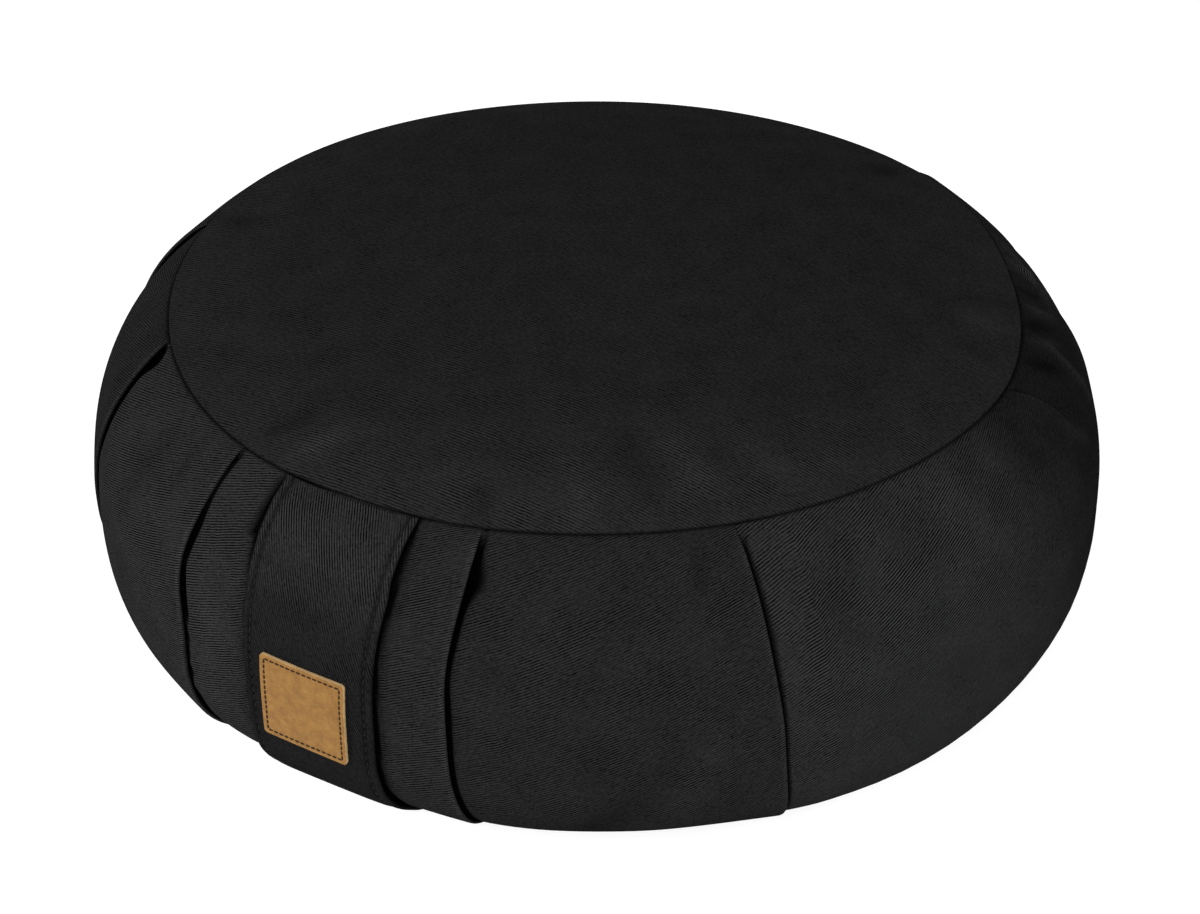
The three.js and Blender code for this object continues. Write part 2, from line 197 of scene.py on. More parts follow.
# How much of a shut pleat's step is there: all of it in the seams, none well below a short run
def step_presence(pleat, share):
    end = 1 - pleat.run
    return smooth_step(share, end - SHORT_MOUTH, end) if pleat.run < 1 else np.ones_like(share)


# Azimuth of a pleat's edge: a parabola through its three places, with the edge's own wander
def edge_azimuth(pleat, share, radius):
    bend = 4 * share * (1 - share)
    straight = blend(pleat.bottom, pleat.top, share)
    middle = pleat.middle - (pleat.bottom + pleat.top) / 2
    wander = pleat.wave * np.sin(2 * math.pi * WAVES_PER_EDGE * share) / radius
    return np.radians(straight + middle * bend) + wander * bend


# Places where the panel under a fold puffs out into its gap: the pleat's top azimuth, the height,
# the share of the gap it fills and how far up and down
Ruffle = namedtuple("Ruffle", "pleat height share up")
RUFFLES = in_metres(Ruffle, "height up", [
    (-18.2, 125, 0.7, 10),
    (-18.2, 96, 0.3, 4),
    (-18.2, 70, 0.95, 3),
    (-18.2, 61, 0.9, 2.6),
    (-18.2, 54, 0.95, 2.6),
    (-18.2, 44, 0.9, 3.4),
    (17.4, 92, 0.3, 9),
    (17.4, 44, 0.3, 40),
    (47.9, 70, 0.2, 40),
    (-46.6, 88, 0.4, 8),
    (-46.6, 46, 0.8, 18),
    (-78.5, 80, 0.4, 7),
    (-108, 66, 0.5, 8),
    (-140, 84, 0.4, 6),
    (128, 70, 0.4, 9),
    (158, 92, 0.5, 7),
    (158, 50, 0.4, 5),
    (189, 74, 0.4, 8),
])

# Holes that gape under the top seam: the pleat's top azimuth, the height, the depth and the reach
Hole = namedtuple("Hole", "pleat height depth up")
HOLES = in_metres(Hole, "height depth up", [
    (-46.6, 130.5, 3.2, 3.8),
    (-18.2, 110, 0.5, 4),
    (17.4, 123, 3.8, 4.6),
    (47.9, 104, 1.2, 24),
    (96.3, 127, 1.0, 6),
    (-78.5, 122, 0.8, 8),
    (158, 121, 0.8, 9),
    (-140, 122, 0.6, 9),
])


# How much the holes deepen a pleat's gap
def hole_depth(pleat, share):
    height = blend(BAND_BOTTOM, BAND_TOP, share)
    holes = [hole for hole in HOLES if hole.pleat == pleat.top]
    return sum((hole.depth * hump(height, hole.height, hole.up) for hole in holes), 0 * height)


# Share of a pleat's gap that the ruffles leave
def ruffled_share(pleat, share):
    height = blend(BAND_BOTTOM, BAND_TOP, share)
    left = np.ones_like(height)
    for ruffle in RUFFLES:
        if ruffle.pleat == pleat.top:
            left = left * (1 - ruffle.share * hump(height, ruffle.height, ruffle.up))
    return left


# How far the panel after a pleat starts below the smooth surface
def panel_sink(pleat, share):
    depth = (pleat.sink + POCKET_DEPTH + hole_depth(pleat, share)) * ruffled_share(pleat, share)
    return blend(SEAM_STEP * step_presence(pleat, share), depth, openness(pleat, share))


# How much shade is painted into a pleat's gap
def gap_shade(pleat, share):
    return (openness(pleat, share) * np.sqrt(ruffled_share(pleat, share)))[:, None]


# One folded edge, row by row: azimuths and offsets of the points round its nose and back along the
# roof of the tuck, then of those along the tuck's floor and out to the next panel
def fold_columns(pleat, share, radius):
    opened = openness(pleat, share)[:, None]
    sink = panel_sink(pleat, share)[:, None]
    lift = pleat.lift * opened
    roof_share = np.arange(1, ROOF_STEPS + 1) / ROOF_STEPS
    floor_share = np.linspace(0, 1, FLOOR_STEPS)
    roof_below = 2 * NOSE_ROUND + FOLD_CLOTH * roof_share
    across = np.concatenate([
        NOSE_ROUND * (np.cos(NOSE_ANGLES) - 1),
        -NOSE_ROUND - (pleat.tuck - NOSE_ROUND) * roof_share,
        [-pleat.tuck - FOLD_CLOTH],
        blend(-pleat.tuck, MOUTH_REACH, floor_share),
    ])
    lip_below = np.concatenate([
        NOSE_ROUND * (1 - np.sin(NOSE_ANGLES)), roof_below, [roof_below[-1] + FOLD_CLOTH],
    ])
    floor_below = blend(roof_below[-1] + 2 * FOLD_CLOTH, lift + sink, floor_share ** 2)
    below = np.concatenate([np.broadcast_to(lip_below, (len(share), len(lip_below))), floor_below], axis=1)
    flat_share = np.linspace(0, 1, len(across))
    flat_across = blend(-SEAM_HALF, SEAM_HALF, flat_share)
    flat_below = SEAM_STEP * step_presence(pleat, share)[:, None] * flat_share
    azimuth = edge_azimuth(pleat, share, radius)[:, None]
    azimuth = azimuth + blend(flat_across, across, opened) / radius[:, None]
    return azimuth, lift - blend(flat_below, below, opened)


# The panel between two folds, row by row: sunk beside the first, rising to the second; its columns
# are closer together beside the strap's edges
def panel_columns(pleat, following, turn, share, radius, tone):
    start = fold_columns(pleat, share, radius)[0][:, -1:]
    end = fold_columns(following, share, radius)[0][:, :1] + turn
    width = (end - start) * radius[:, None]
    open_share = OPEN_SHARES if pleat.run == 1 else SHORT_PANEL_SHARES
    open_share = STRAP_PANEL_SHARES if pleat.top == STRAP_PLEAT else open_share
    open_width = width - NEAR_COLUMNS[-1] - FAR_COLUMNS[0]
    along = np.concatenate([
        np.broadcast_to(NEAR_COLUMNS, (len(share), len(NEAR_COLUMNS))),
        NEAR_COLUMNS[-1] + open_width * open_share, width - FAR_COLUMNS,
    ], axis=1)
    steep_width = STEEP_WIDTH * ruffled_share(pleat, share) + HOLE_WIDENING * hole_depth(pleat, share)
    steep_width = steep_width[:, None]
    steep = np.clip(1 - along / steep_width, 0, None) ** 2
    broad = np.clip(1 - along / BROAD_WIDTH, 0, None) ** 2
    rise = np.clip(1 - (width - along) / RISE_WIDTH, 0, None) ** 2
    lift = following.lift * openness(following, share)[:, None]
    sink = panel_sink(pleat, share)[:, None] * blend(broad, steep, STEEP_SHARE)
    # Painted light: the panel's tone fades to its end tone; painted shade darkens it beside the gap of the
    # fold before it
    tone = blend(tone, pleat.end_tone, smooth_step(along / width, TONE_FADE_START, 1))
    shade = gap_shade(pleat, share) * np.clip(1 - along / steep_width, 0, 1) ** GAP_FADE
    return blend(start, end, along / width), lift * rise - sink, tone * blend(1, GAP_PAINTED_SHADE, shade)


# Shares of the height at which rows lie, closer together towards the two seams
def row_shares(steps):
    even = np.linspace(0, 1, steps + 1)
    return blend(even, (1 - np.cos(math.pi * even)) / 2, ROW_CROWDING)


# Height of the top panel's upper face at a radius
def crown_height(radius):
    return TOP_SEAM_HEIGHT + CROWN_RISE * (1 - (radius / TOP_SEAM_RADIUS) ** CROWN_FULLNESS)


# Puts a finished mesh into the scene, shaded smooth
def smooth_piece(name, mesh):
    mesh.shade_smooth()
    piece = bpy.data.objects.new(name, mesh)
    bpy.context.collection.objects.link(piece)
    return piece


# A mesh piece from points, faces and, for each face corner, a place on the flat cloth
def cloth_piece(name, points, faces, flat_places):
    mesh = bpy.data.meshes.new(name)
    mesh.from_pydata(points.tolist(), [], faces)
    layer = mesh.uv_layers.new(name="flat_cloth")
    layer.data.foreach_set("uv", np.asarray(flat_places, dtype=np.float32).ravel())
    return smooth_piece(name, mesh)


# Sets the light and shade painted on the cloth, at each vertex
def paint_shading(piece, tone):
    layer = piece.data.attributes.new("painted_shading", "FLOAT", "POINT")
    layer.data.foreach_set("value", np.asarray(tone, dtype=np.float32).ravel())


# Quads between rows of a closed loop of columns
def loft_faces(rows, columns):
    at = lambda row, column: row * columns + column % columns
    return [
        (at(row, column), at(row, column + 1), at(row + 1, column + 1), at(row + 1, column))
        for column in range(columns) for row in range(rows - 1)
    ]


# Closes the open ends of a lofted piece, each with one flat face
def close_ends(piece):
    bpy.ops.object.select_all(action="DESELECT")
    bpy.context.view_layer.objects.active = piece
    piece.select_set(True)
    bpy.ops.object.mode_set(mode="EDIT")
    bpy.ops.mesh.select_mode(type="EDGE")
    bpy.ops.mesh.select_all(action="DESELECT")
    bpy.ops.mesh.select_non_manifold(extend=False)
    bpy.ops.mesh.fill_holes(sides=0)
    bpy.ops.object.mode_set(mode="OBJECT")


band_share = row_shares(BAND_ROWS)
band_height = blend(BAND_BOTTOM, BAND_TOP, band_share)
band_radius = side_radius(band_height)
lip_points = len(NOSE_ANGLES) + ROOF_STEPS + 1
strip_azimuths, strip_offsets, strip_tones = [], [], []
column_strip, column_tuck, strip_middles = [], [], []
for index, pleat in enumerate(PLEATS):
    following = PLEATS[(index + 1) % len(PLEATS)]
    turn = 2 * math.pi if index + 1 == len(PLEATS) else 0
    fold_azimuth, fold_offset = fold_columns(pleat, band_share, band_radius)
    next_azimuth, next_offset = fold_columns(following, band_share, band_radius)
    start_tone = blend(PLEATS[index - 1].end_tone, pleat.tone, step_presence(pleat, band_share))[:, None]
    panel_azimuth, panel_offset, panel_tone = panel_columns(
        pleat, following, turn, band_share, band_radius, start_tone)
    strip_azimuths.append(np.concatenate(
        [fold_azimuth[:, lip_points:], panel_azimuth, next_azimuth[:, :lip_points] + turn], axis=1))
    strip_offsets.append(np.concatenate(
        [fold_offset[:, lip_points:], panel_offset, next_offset[:, :lip_points]], axis=1))
    # Painted shade on the tuck's floor, and on the lip a painted highlight at the nose and painted shade
    # under it
    floor_tone = start_tone * blend(np.ones(FLOOR_STEPS), GAP_PAINTED_SHADE, gap_shade(pleat, band_share))
    lip_tone = pleat.end_tone * blend(1, LIP_PAINTED_TONES, gap_shade(following, band_share))
    strip_tones.append(np.concatenate([floor_tone, panel_tone, lip_tone], axis=1))
    panel_size = panel_azimuth.shape[1]
    strip_middles.append(len(column_strip) + FLOOR_STEPS + panel_size // 2)
    column_strip += [index] * strip_azimuths[-1].shape[1]
    open_columns = 1 + panel_size + len(NOSE_ANGLES)
    column_tuck += [1] * (FLOOR_STEPS - 1) + [0] * open_columns + [1] * (ROOF_STEPS + 1)
band_azimuth = np.concatenate(strip_azimuths, axis=1)
band_offset = np.concatenate(strip_offsets, axis=1)
band_tone = np.concatenate(strip_tones, axis=1)

# At both seams the cloth rolls over a small shoulder into the stitching, turns in under the panel,
# and the filling's faces close the shape
SEAM_SHOULDER = 0.45 * MM
SEAM_DEPTH = 2.6 * MM
INSIDE_DROP = 3.4 * MM
INSIDE_SHARES = [0.95, 0.3]


# How far a shoulder has dropped at a distance from the seam it rolls into
def shoulder_drop(distance):
    inside = np.clip(1 - distance / SEAM_SHOULDER, 0, 1)
    return SEAM_SHOULDER * (1 - np.sqrt(1 - inside ** 2))


meridian_step = np.hypot(np.diff(band_radius), np.diff(band_height))
meridian = np.concatenate([[0], np.cumsum(meridian_step)])
seam_distance = np.minimum(meridian, meridian[-1] - meridian)
band_offset = band_offset - shoulder_drop(seam_distance)[:, None]
# Painted shade along both seams
band_tone = band_tone * blend(SEAM_PAINTED_SHADE, 1, smooth_step(seam_distance, 0, SEAM_SHADE))[:, None]

# The strap draws the band in along both its edges, and shade is painted on the band beside them: the
# side, the depth of the groove and how far the painted shade reaches from the edge, at heights up the band
StrapGroove = namedtuple("StrapGroove", "side depth reach")
STRAP_WIDTH = 57 * MM
STRAP_GROOVES = [
    StrapGroove(-1, 1.4 * MM, np.array([1.0, 2.2, 3.2, 3.2, 4.0, 5.2, 6.2, 5.8, 3.4]) * MM),
    StrapGroove(1, 1.0 * MM, np.array([2.6, 2.0, 1.2, 1.0, 1.4, 2.4, 1.2, 0.8, 0.4]) * MM),
]
GROOVE_HEIGHTS = np.array([12, 28, 44, 98, 107, 112, 120, 127, 134]) * MM
GROOVE_WIDTH = 2.0 * MM
GROOVE_BORDER = 0.9 * MM
GROOVE_FADE = [3 * MM, 24 * MM]
groove_share = smooth_step(seam_distance, *GROOVE_FADE)[:, None]
for groove in STRAP_GROOVES:
    reach = np.interp(band_height, GROOVE_HEIGHTS, groove.reach)[:, None]
    beyond = groove.side * band_azimuth * band_radius[:, None] - STRAP_WIDTH / 2
    drawn_in = hump(beyond, reach - GROOVE_BORDER, GROOVE_WIDTH)
    band_offset = band_offset - groove.depth * drawn_in * groove_share
    shade = blend(GAP_PAINTED_SHADE, 1, smooth_step(beyond, reach - GROOVE_BORDER, reach))
    band_tone = band_tone * np.where(beyond > -STRAP_WIDTH / 2, shade, 1)
band_points = band_point(band_azimuth, band_height[:, None], band_offset)
top_azimuth, bottom_azimuth = band_azimuth[-1], band_azimuth[0]
top_wander = swelling(top_azimuth, TOP_SEAM_HEIGHT) / TOP_SEAM_RADIUS
upper_loops = [band_point(top_azimuth, BAND_TOP, band_offset[-1] - SEAM_DEPTH)]
lower_loops = [band_point(bottom_azimuth, BAND_BOTTOM, band_offset[0] - SEAM_DEPTH)]
for share in INSIDE_SHARES:
    inside_radius = share * TOP_SEAM_RADIUS
    inside_height = crown_height(inside_radius) - INSIDE_DROP
    upper_loops.append(polar(top_azimuth, inside_radius * (1 + top_wander), inside_height))
    lower_loops.insert(0, polar(bottom_azimuth, share * FOOT_RADIUS, INSIDE_DROP))
loops = np.stack([*lower_loops, *band_points, *upper_loops])
loop_count, column_count = loops.shape[:2]

# Flat places: along each strip from its middle, up the band from the bottom seam
steps_across = np.linalg.norm(np.diff(np.concatenate([loops, loops[:, :1]], axis=1), axis=1), axis=2)
travelled = np.concatenate([np.zeros((loop_count, 1)), np.cumsum(steps_across, axis=1)], axis=1)
column_middle = np.array(strip_middles)[column_strip]
flat_across = travelled[:, :-1] - travelled[:, column_middle]
flat_next = flat_across + steps_across
flat_up = np.concatenate([np.zeros(len(lower_loops)), meridian, np.full(len(upper_loops), meridian[-1])])
band_faces = loft_faces(loop_count, column_count)
band_flat = []
for column in range(column_count):
    for row in range(loop_count - 1):
        band_flat += [
            (flat_across[row, column], flat_up[row]),
            (flat_next[row, column], flat_up[row]),
            (flat_next[row + 1, column], flat_up[row + 1]),
            (flat_across[row + 1, column], flat_up[row + 1]),
        ]
cushion = cloth_piece("pleated_cushion", loops.reshape(-1, 3), band_faces, band_flat)
paint_shading(cushion, np.pad(band_tone, ((len(lower_loops), len(upper_loops)), (0, 0)), mode="edge"))

# The filling presses the cloth out between the seams and the tucks, which hold it
PRESSED_FRAMES = 20
MOST_MOVED = 2.2 * MM
LEAST_MOVED = 0.001 * MM
SEAM_HOLD = 10 * MM
STRAP_HOLD = np.radians([10, 14])
CLOTH_SETTINGS = {
    "quality": 5, "mass": 0.3, "tension_stiffness": 15, "compression_stiffness": 15,
    "shear_stiffness": 5, "bending_stiffness": 0.5, "use_pressure": True,
    "uniform_pressure_force": 4, "vertex_group_mass": "sewn",
}
held_rows = np.ones(loop_count)
held_rows[len(lower_loops):loop_count - len(upper_loops)] = 1 - smooth_step(
    np.minimum(band_height - BAND_BOTTOM, BAND_TOP - band_height), 0, SEAM_HOLD)
under_strap = 1 - smooth_step(np.abs(np.arctan2(loops[..., 0], -loops[..., 1])), *STRAP_HOLD)
hold = np.maximum(np.maximum(held_rows[:, None], np.array(column_tuck)[None, :]), under_strap)


# Runs the cloth simulation on a piece, holding its points by their weights, and keeps the result
def press_out(piece, hold):
    start = np.array([vertex.co for vertex in piece.data.vertices])
    group = piece.vertex_groups.new(name="sewn")
    for index, weight in enumerate(hold):
        if weight > 0:
            group.add([index], float(weight), "REPLACE")
    cloth = piece.modifiers.new("filling_pressure", "CLOTH")
    for setting, value in CLOTH_SETTINGS.items():
        setattr(cloth.settings, setting, value)
    cloth.settings.effector_weights.gravity = 0
    cloth.point_cache.frame_start = 1
    cloth.point_cache.frame_end = PRESSED_FRAMES
    for moment in range(1, PRESSED_FRAMES + 1):
        bpy.context.scene.frame_set(moment)
    bpy.ops.object.select_all(action="DESELECT")
    bpy.context.view_layer.objects.active = piece
    bpy.ops.object.modifier_apply(modifier=cloth.name)
    piece.vertex_groups.clear()
    bpy.context.scene.frame_set(1)
    moved = np.array([vertex.co for vertex in piece.data.vertices]) - start
    length = np.linalg.norm(moved, axis=1, keepdims=True)
    moved *= np.minimum(1, MOST_MOVED / np.maximum(length, LEAST_MOVED))
    piece.data.vertices.foreach_set("co", (start + moved).astype(np.float32).ravel())
    piece.data.update()


bpy.ops.object.select_all(action="DESELECT")
press_out(cushion, hold.ravel())

# Soft creases and ridges that the filling leaves in the cloth: azimuth and reach of both ends, the
# width and how far out; the reach is a height on the band and a radius on the top
Crease = namedtuple("Crease", "start_azimuth start_reach end_azimuth end_reach width out")
CREASE_LENGTHS = "start_reach end_reach width out"
BAND_CREASES = in_metres(Crease, CREASE_LENGTHS, [
    (-14, 116, -13.6, 26, 7, 0.3),
    (66, 134, 70, 110, 5, -0.5),
    (74, 134, 79, 108, 5, 0.5),
    (45, 84, 37, 20, 8, 0.4),
    (40, 70, 31, 16, 7, -0.35),
    (112, 132, 114.2, 98, 2.6, 2.0),
    (138, 133, 123, 121, 2.4, 1.6),
    (117.5, 136, 122.4, 121, 2.2, 2.0),
    (131, 136, 130.5, 119, 2.4, 1.5),
    (122.5, 135, 126, 121, 2.6, -1.2),
    (108.8, 135, 115.8, 122, 2.0, 1.3),
    (112.5, 134.5, 118.5, 125, 2.6, -1.2),
    (104, 134, 111, 120, 3.0, -1.2),
    (100, 118, 106, 100, 3, 0.9),
    (90, 132, 93, 112, 4, -0.8),
    (84, 134, 86, 118, 4, 0.6),
    (43, 133, 42, 118, 3.4, -0.7),
    (-24, 133, -25, 116, 3.4, -0.7),
    (60, 128, 56, 96, 6, -0.5),
    (-30, 128, -34, 96, 6, -0.5),
    (34, 40, 28, 22, 6, -0.6),
    (140, 128, 143, 98, 5, -0.8),
    (172, 126, 169, 94, 6, -0.8),
    (206, 130, 209, 100, 5, -0.7),
    (236, 128, 233, 96, 6, -0.8),
    (268, 128, 272, 100, 5, -0.7),
])
CREASE_ENDS = [0.08, 0.92]
CREASE_PAINTED_LIGHT = 0.4 / MM
CREASE_TONES = [0.5, 1.6]


# How far creases move places out; places and ends are pairs of distances on the cloth
def crease_relief(places, start, end, width, out):
    along = end - start
    share = np.clip(((places - start) @ along) / (along @ along), 0, 1)
    apart = np.linalg.norm(places - start - share[:, None] * along, axis=1)
    return out * hump(apart, 0, width) * np.sin(math.pi * blend(*CREASE_ENDS, share))


# Painted light on the ridges and painted shade in the valleys
def crease_tone(relief):
    return np.clip(1 + CREASE_PAINTED_LIGHT * relief, *CREASE_TONES)


# Moves the band's points out by its creases and paints light on their ridges and shade in their valleys
def crease_band(piece):
    points = np.empty(len(piece.data.vertices) * 3)
    piece.data.vertices.foreach_get("co", points)
    points = points.reshape(-1, 3)
    azimuth = np.arctan2(points[:, 0], -points[:, 1])
    relief = 0
    for crease in BAND_CREASES:
        end_azimuths = np.radians([crease.start_azimuth, crease.end_azimuth])
        middle = end_azimuths.mean()
        apart = np.arctan2(np.sin(azimuth - middle), np.cos(azimuth - middle))
        places = np.stack([apart * CUSHION_RADIUS, points[:, 2]], axis=1)
        beside = (end_azimuths - middle) * CUSHION_RADIUS
        start, end = np.stack([beside, [crease.start_reach, crease.end_reach]], axis=1)
        relief = relief + crease_relief(places, start, end, crease.width, crease.out)
    points += polar(azimuth, relief, 0)
    piece.data.vertices.foreach_set("co", points.astype(np.float32).ravel())
    piece.data.update()
    painted_tone = piece.data.attributes["painted_shading"].data
    tones = np.empty(len(points))
    painted_tone.foreach_get("value", tones)
    painted_tone.foreach_set("value", (tones * crease_tone(relief)).astype(np.float32))


rounding = cushion.modifiers.new("rounding", "SUBSURF")
rounding.levels = rounding.render_levels = 1
rounding.uv_smooth = "NONE"
bpy.context.view_layer.objects.active = cushion
bpy.ops.object.modifier_apply(modifier=rounding.name)
crease_band(cushion)
close_ends(cushion)

# Black cotton twill: slanting ridges a millimetre apart, clearer where painted light is laid on and
# worn in patches, with broken yarns along them, lint over all and a slight cloudiness
BAND_TWILL_PITCH = 1.0 * MM
BAND_TWILL_ANGLE = 24
BAND_RIDGE_SHARE = 1.35
TWILL_FURROW = (0.0004, 0.0004, 0.0004)
TWILL_RIDGE = (0.0206, 0.0206, 0.0209)
TWILL_RELIEF = 0.12 * MM
WEAR_SCALE = 70
WEAR_RANGE = [0.3, 0.7]
WEAR_SHARES = [0.1, 0.9]
PAINTED_TONE_RANGE = [0.6, 1.2]
PAINTED_TONE_CLARITY = [0.45, 1.25]
LINT_SCALE = 850
LINT_SHARE = 0.85
YARN_SCALE = 1100
YARN_STRETCH = (0.25, 1, 1)
YARN_SHARE = 0.6
CLOUD_SCALE = 60
CLOUD_SHARE = 0.3
TWILL_ROUGHNESS = 0.9
TWILL_SPECULAR = 0.0
RIDGE_WAVER = 1.2
NOISE_DETAIL = 3

# How many bands the wave node draws in a unit at a scale of one
WAVES_PER_UNIT = 20 / (2 * math.pi)


# A material with its gloss set
def start_finish(name, roughness, specular):
    material = bpy.data.materials.new(name)
    material.use_nodes = True
    shader = material.node_tree.nodes["Principled BSDF"]
    shader.inputs["Roughness"].default_value = roughness
    shader.inputs["Specular IOR Level"].default_value = specular
    return material


# Adds a node to a material; each socket is given a value or another node's output
def add_node(material, kind, sockets, **settings):
    node = material.node_tree.nodes.new("ShaderNode" + kind)
    for setting, value in settings.items():
        setattr(node, setting, value)
    for socket, value in sockets.items():
        if isinstance(value, bpy.types.NodeSocket):
            material.node_tree.links.new(value, node.inputs[socket])
        else:
            node.inputs[socket].default_value = value
    return node


def add_math(material, operation, *values):
    return add_node(material, "Math", dict(enumerate(values)), operation=operation).outputs["Value"]


def add_noise(material, vector, scale, detail, roughness=0.5):
    sockets = {"Vector": vector, "Scale": scale, "Detail": detail, "Roughness": roughness}
    return add_node(material, "TexNoise", sockets).outputs["Fac"]


# A value carried over from one range to another
def add_range(material, value, source, target):
    limits = {"From Min": source[0], "From Max": source[1], "To Min": target[0], "To Max": target[1]}
    return add_node(material, "MapRange", {"Value": value, **limits}).outputs["Result"]


# A colour between two, over a range of a value
def add_ramp(material, value, dark, light, places=(0, 1)):
    ramp = add_node(material, "ValToRGB", {"Fac": value})
    for stop, place, colour in zip(ramp.color_ramp.elements, places, (dark, light)):
        stop.position = place
        stop.color = (*colour, 1)
    return ramp.outputs["Color"]


# Gives a material its colour and the relief of its surface
def end_finish(material, colour, height, depth, strength=1):
    shader = material.node_tree.nodes["Principled BSDF"]
    relief = add_node(material, "Bump", {"Height": height, "Distance": depth, "Strength": strength})
    material.node_tree.links.new(colour, shader.inputs["Base Color"])
    material.node_tree.links.new(relief.outputs["Normal"], shader.inputs["Normal"])
    return material


def twill_cloth(name, pitch, line_angle, ridge_share):
    cloth = start_finish(name, TWILL_ROUGHNESS, TWILL_SPECULAR)
    flat = add_node(cloth, "UVMap", {}, uv_map="flat_cloth").outputs["UV"]
    slant = {"Vector": flat, "Rotation": (0, 0, math.radians(line_angle))}
    along = add_node(cloth, "Mapping", slant, vector_type="TEXTURE").outputs["Vector"]
    stretched = add_node(cloth, "Mapping", {"Vector": along, "Scale": YARN_STRETCH}).outputs["Vector"]
    waves = {"Vector": along, "Scale": 1 / (WAVES_PER_UNIT * pitch), "Distortion": RIDGE_WAVER}
    ridges = add_node(cloth, "TexWave", waves, wave_type="BANDS", bands_direction="Y").outputs["Fac"]
    painted_tone = add_node(cloth, "Attribute", {}, attribute_name="painted_shading").outputs["Fac"]
    swing = add_math(cloth, "SUBTRACT", ridges, 0.5)
    clear = add_math(cloth, "MULTIPLY", swing, add_range(cloth, painted_tone, PAINTED_TONE_RANGE, PAINTED_TONE_CLARITY))
    wear = add_noise(cloth, along, WEAR_SCALE, NOISE_DETAIL)
    worn = add_math(cloth, "MULTIPLY", clear, add_range(cloth, wear, WEAR_RANGE, WEAR_SHARES))
    base = 0.5 - (LINT_SHARE + YARN_SHARE + CLOUD_SHARE) / 2
    strands = add_math(cloth, "MULTIPLY_ADD", worn, ridge_share, base)
    for vector, scale, share in (
            (along, LINT_SCALE, LINT_SHARE), (stretched, YARN_SCALE, YARN_SHARE),
            (along, CLOUD_SCALE, CLOUD_SHARE)):
        pattern = add_noise(cloth, vector, scale, NOISE_DETAIL)
        strands = add_math(cloth, "MULTIPLY_ADD", pattern, share, strands)
    yarn = add_ramp(cloth, strands, TWILL_FURROW, TWILL_RIDGE)
    # The painted light and shade scale the yarn's colour
    toned = add_node(cloth, "VectorMath", {0: yarn, "Scale": painted_tone}, operation="SCALE").outputs["Vector"]
    return end_finish(cloth, toned, strands, TWILL_RELIEF)


cushion.data.materials.append(
    twill_cloth("band_twill", BAND_TWILL_PITCH, BAND_TWILL_ANGLE, BAND_RIDGE_SHARE))
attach(cushion, "root")
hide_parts("cushion_body")

# Top panel
# A round of the same twill, sewn to the top of the band and crowned by the filling under it.
# Its allowance turns down inside the seam, which draws a fine groove round the rim.
TOP_RINGS = 56
TOP_SHARES = [0.03, 0.986]
RIM_STEPS = np.array([1.6, 1.1, 0.7, 0.35, 0.1, 0])
BACK_STRIDE = 5
PANEL_THICKNESS = 1.5 * MM
ROUND_COLUMNS = 288
TOP_TWILL_PITCH = 1.3 * MM
TOP_TWILL_ANGLE = -1
TOP_RIDGE_SHARE = 0.8

# Soft creases in the top, drawn in from the rim
TOP_CREASES = in_metres(Crease, CREASE_LENGTHS, [
    (-18, 166, -15, 136, 4, -0.7),
    (-12, 164, -8, 140, 5, 0.7),
    (17, 165, 15, 146, 4, -0.6),
    (46, 165, 45, 148, 4, -0.6),
    (30, 163, 27, 130, 6, 0.5),
    (47, 160, 41, 108, 7, 0.6),
    (40, 160, 35, 114, 7, -0.4),
    (60, 162, 53, 122, 7, 0.5),
    (100, 164, 104, 142, 5, -0.5),
    (118, 165, 115, 138, 5, -0.5),
    (109, 164, 110, 144, 5, 0.4),
    (160, 165, 158, 144, 6, -0.8),
    (-80, 165, -78, 145, 6, -0.8),
])

# Painted light: the top is lighter where the crown falls away to the front, and round the rim: the
# direction, distances and tones
PAINTED_LIGHT_AZIMUTH = math.radians(25)
PAINTED_LIGHT_REACH = [70 * MM, 165 * MM]
PAINTED_LIGHT_TONES = [0.93, 1.09]
RIM_PAINTED_LIGHT_REACH = [120 * MM, 162 * MM]
RIM_PAINTED_LIGHT_TONE = 1.12
round_azimuth = np.linspace(0, 2 * math.pi, ROUND_COLUMNS, endpoint=False)


# A thin round of cloth as a closed shell of rings; each ring has a radius on the flat cloth too
def round_panel(name, rings, flat_radii, tone):
    faces = loft_faces(*rings.shape[:2])
    flat = polar(round_azimuth, np.asarray(flat_radii)[:, None], 0)[..., :2].reshape(-1, 2)
    piece = cloth_piece(name, rings.reshape(-1, 3), faces, flat[np.array(faces).ravel()])
    paint_shading(piece, tone)
    close_ends(piece)
    return piece


# How far the creases lift or lower places of the top
def top_relief(places):
    flat = places[..., :2].reshape(-1, 2)
    relief = 0
    for crease in TOP_CREASES:
        ends = polar(
            np.radians([crease.start_azimuth, crease.end_azimuth]),
            np.array([crease.start_reach, crease.end_reach]), 0)[:, :2]
        relief = relief + crease_relief(flat, ends[0], ends[1], crease.width, crease.out)
    return relief.reshape(places.shape[:-1])


def top_ring(share, drop):
    radius = share * TOP_SEAM_RADIUS
    wander = swelling(round_azimuth, TOP_SEAM_HEIGHT) * share
    rolled = shoulder_drop((1 - share) * TOP_SEAM_RADIUS)
    ring = polar(round_azimuth, radius + wander, crown_height(radius) - rolled - drop)
    ring[:, 2] += top_relief(ring)
    return ring


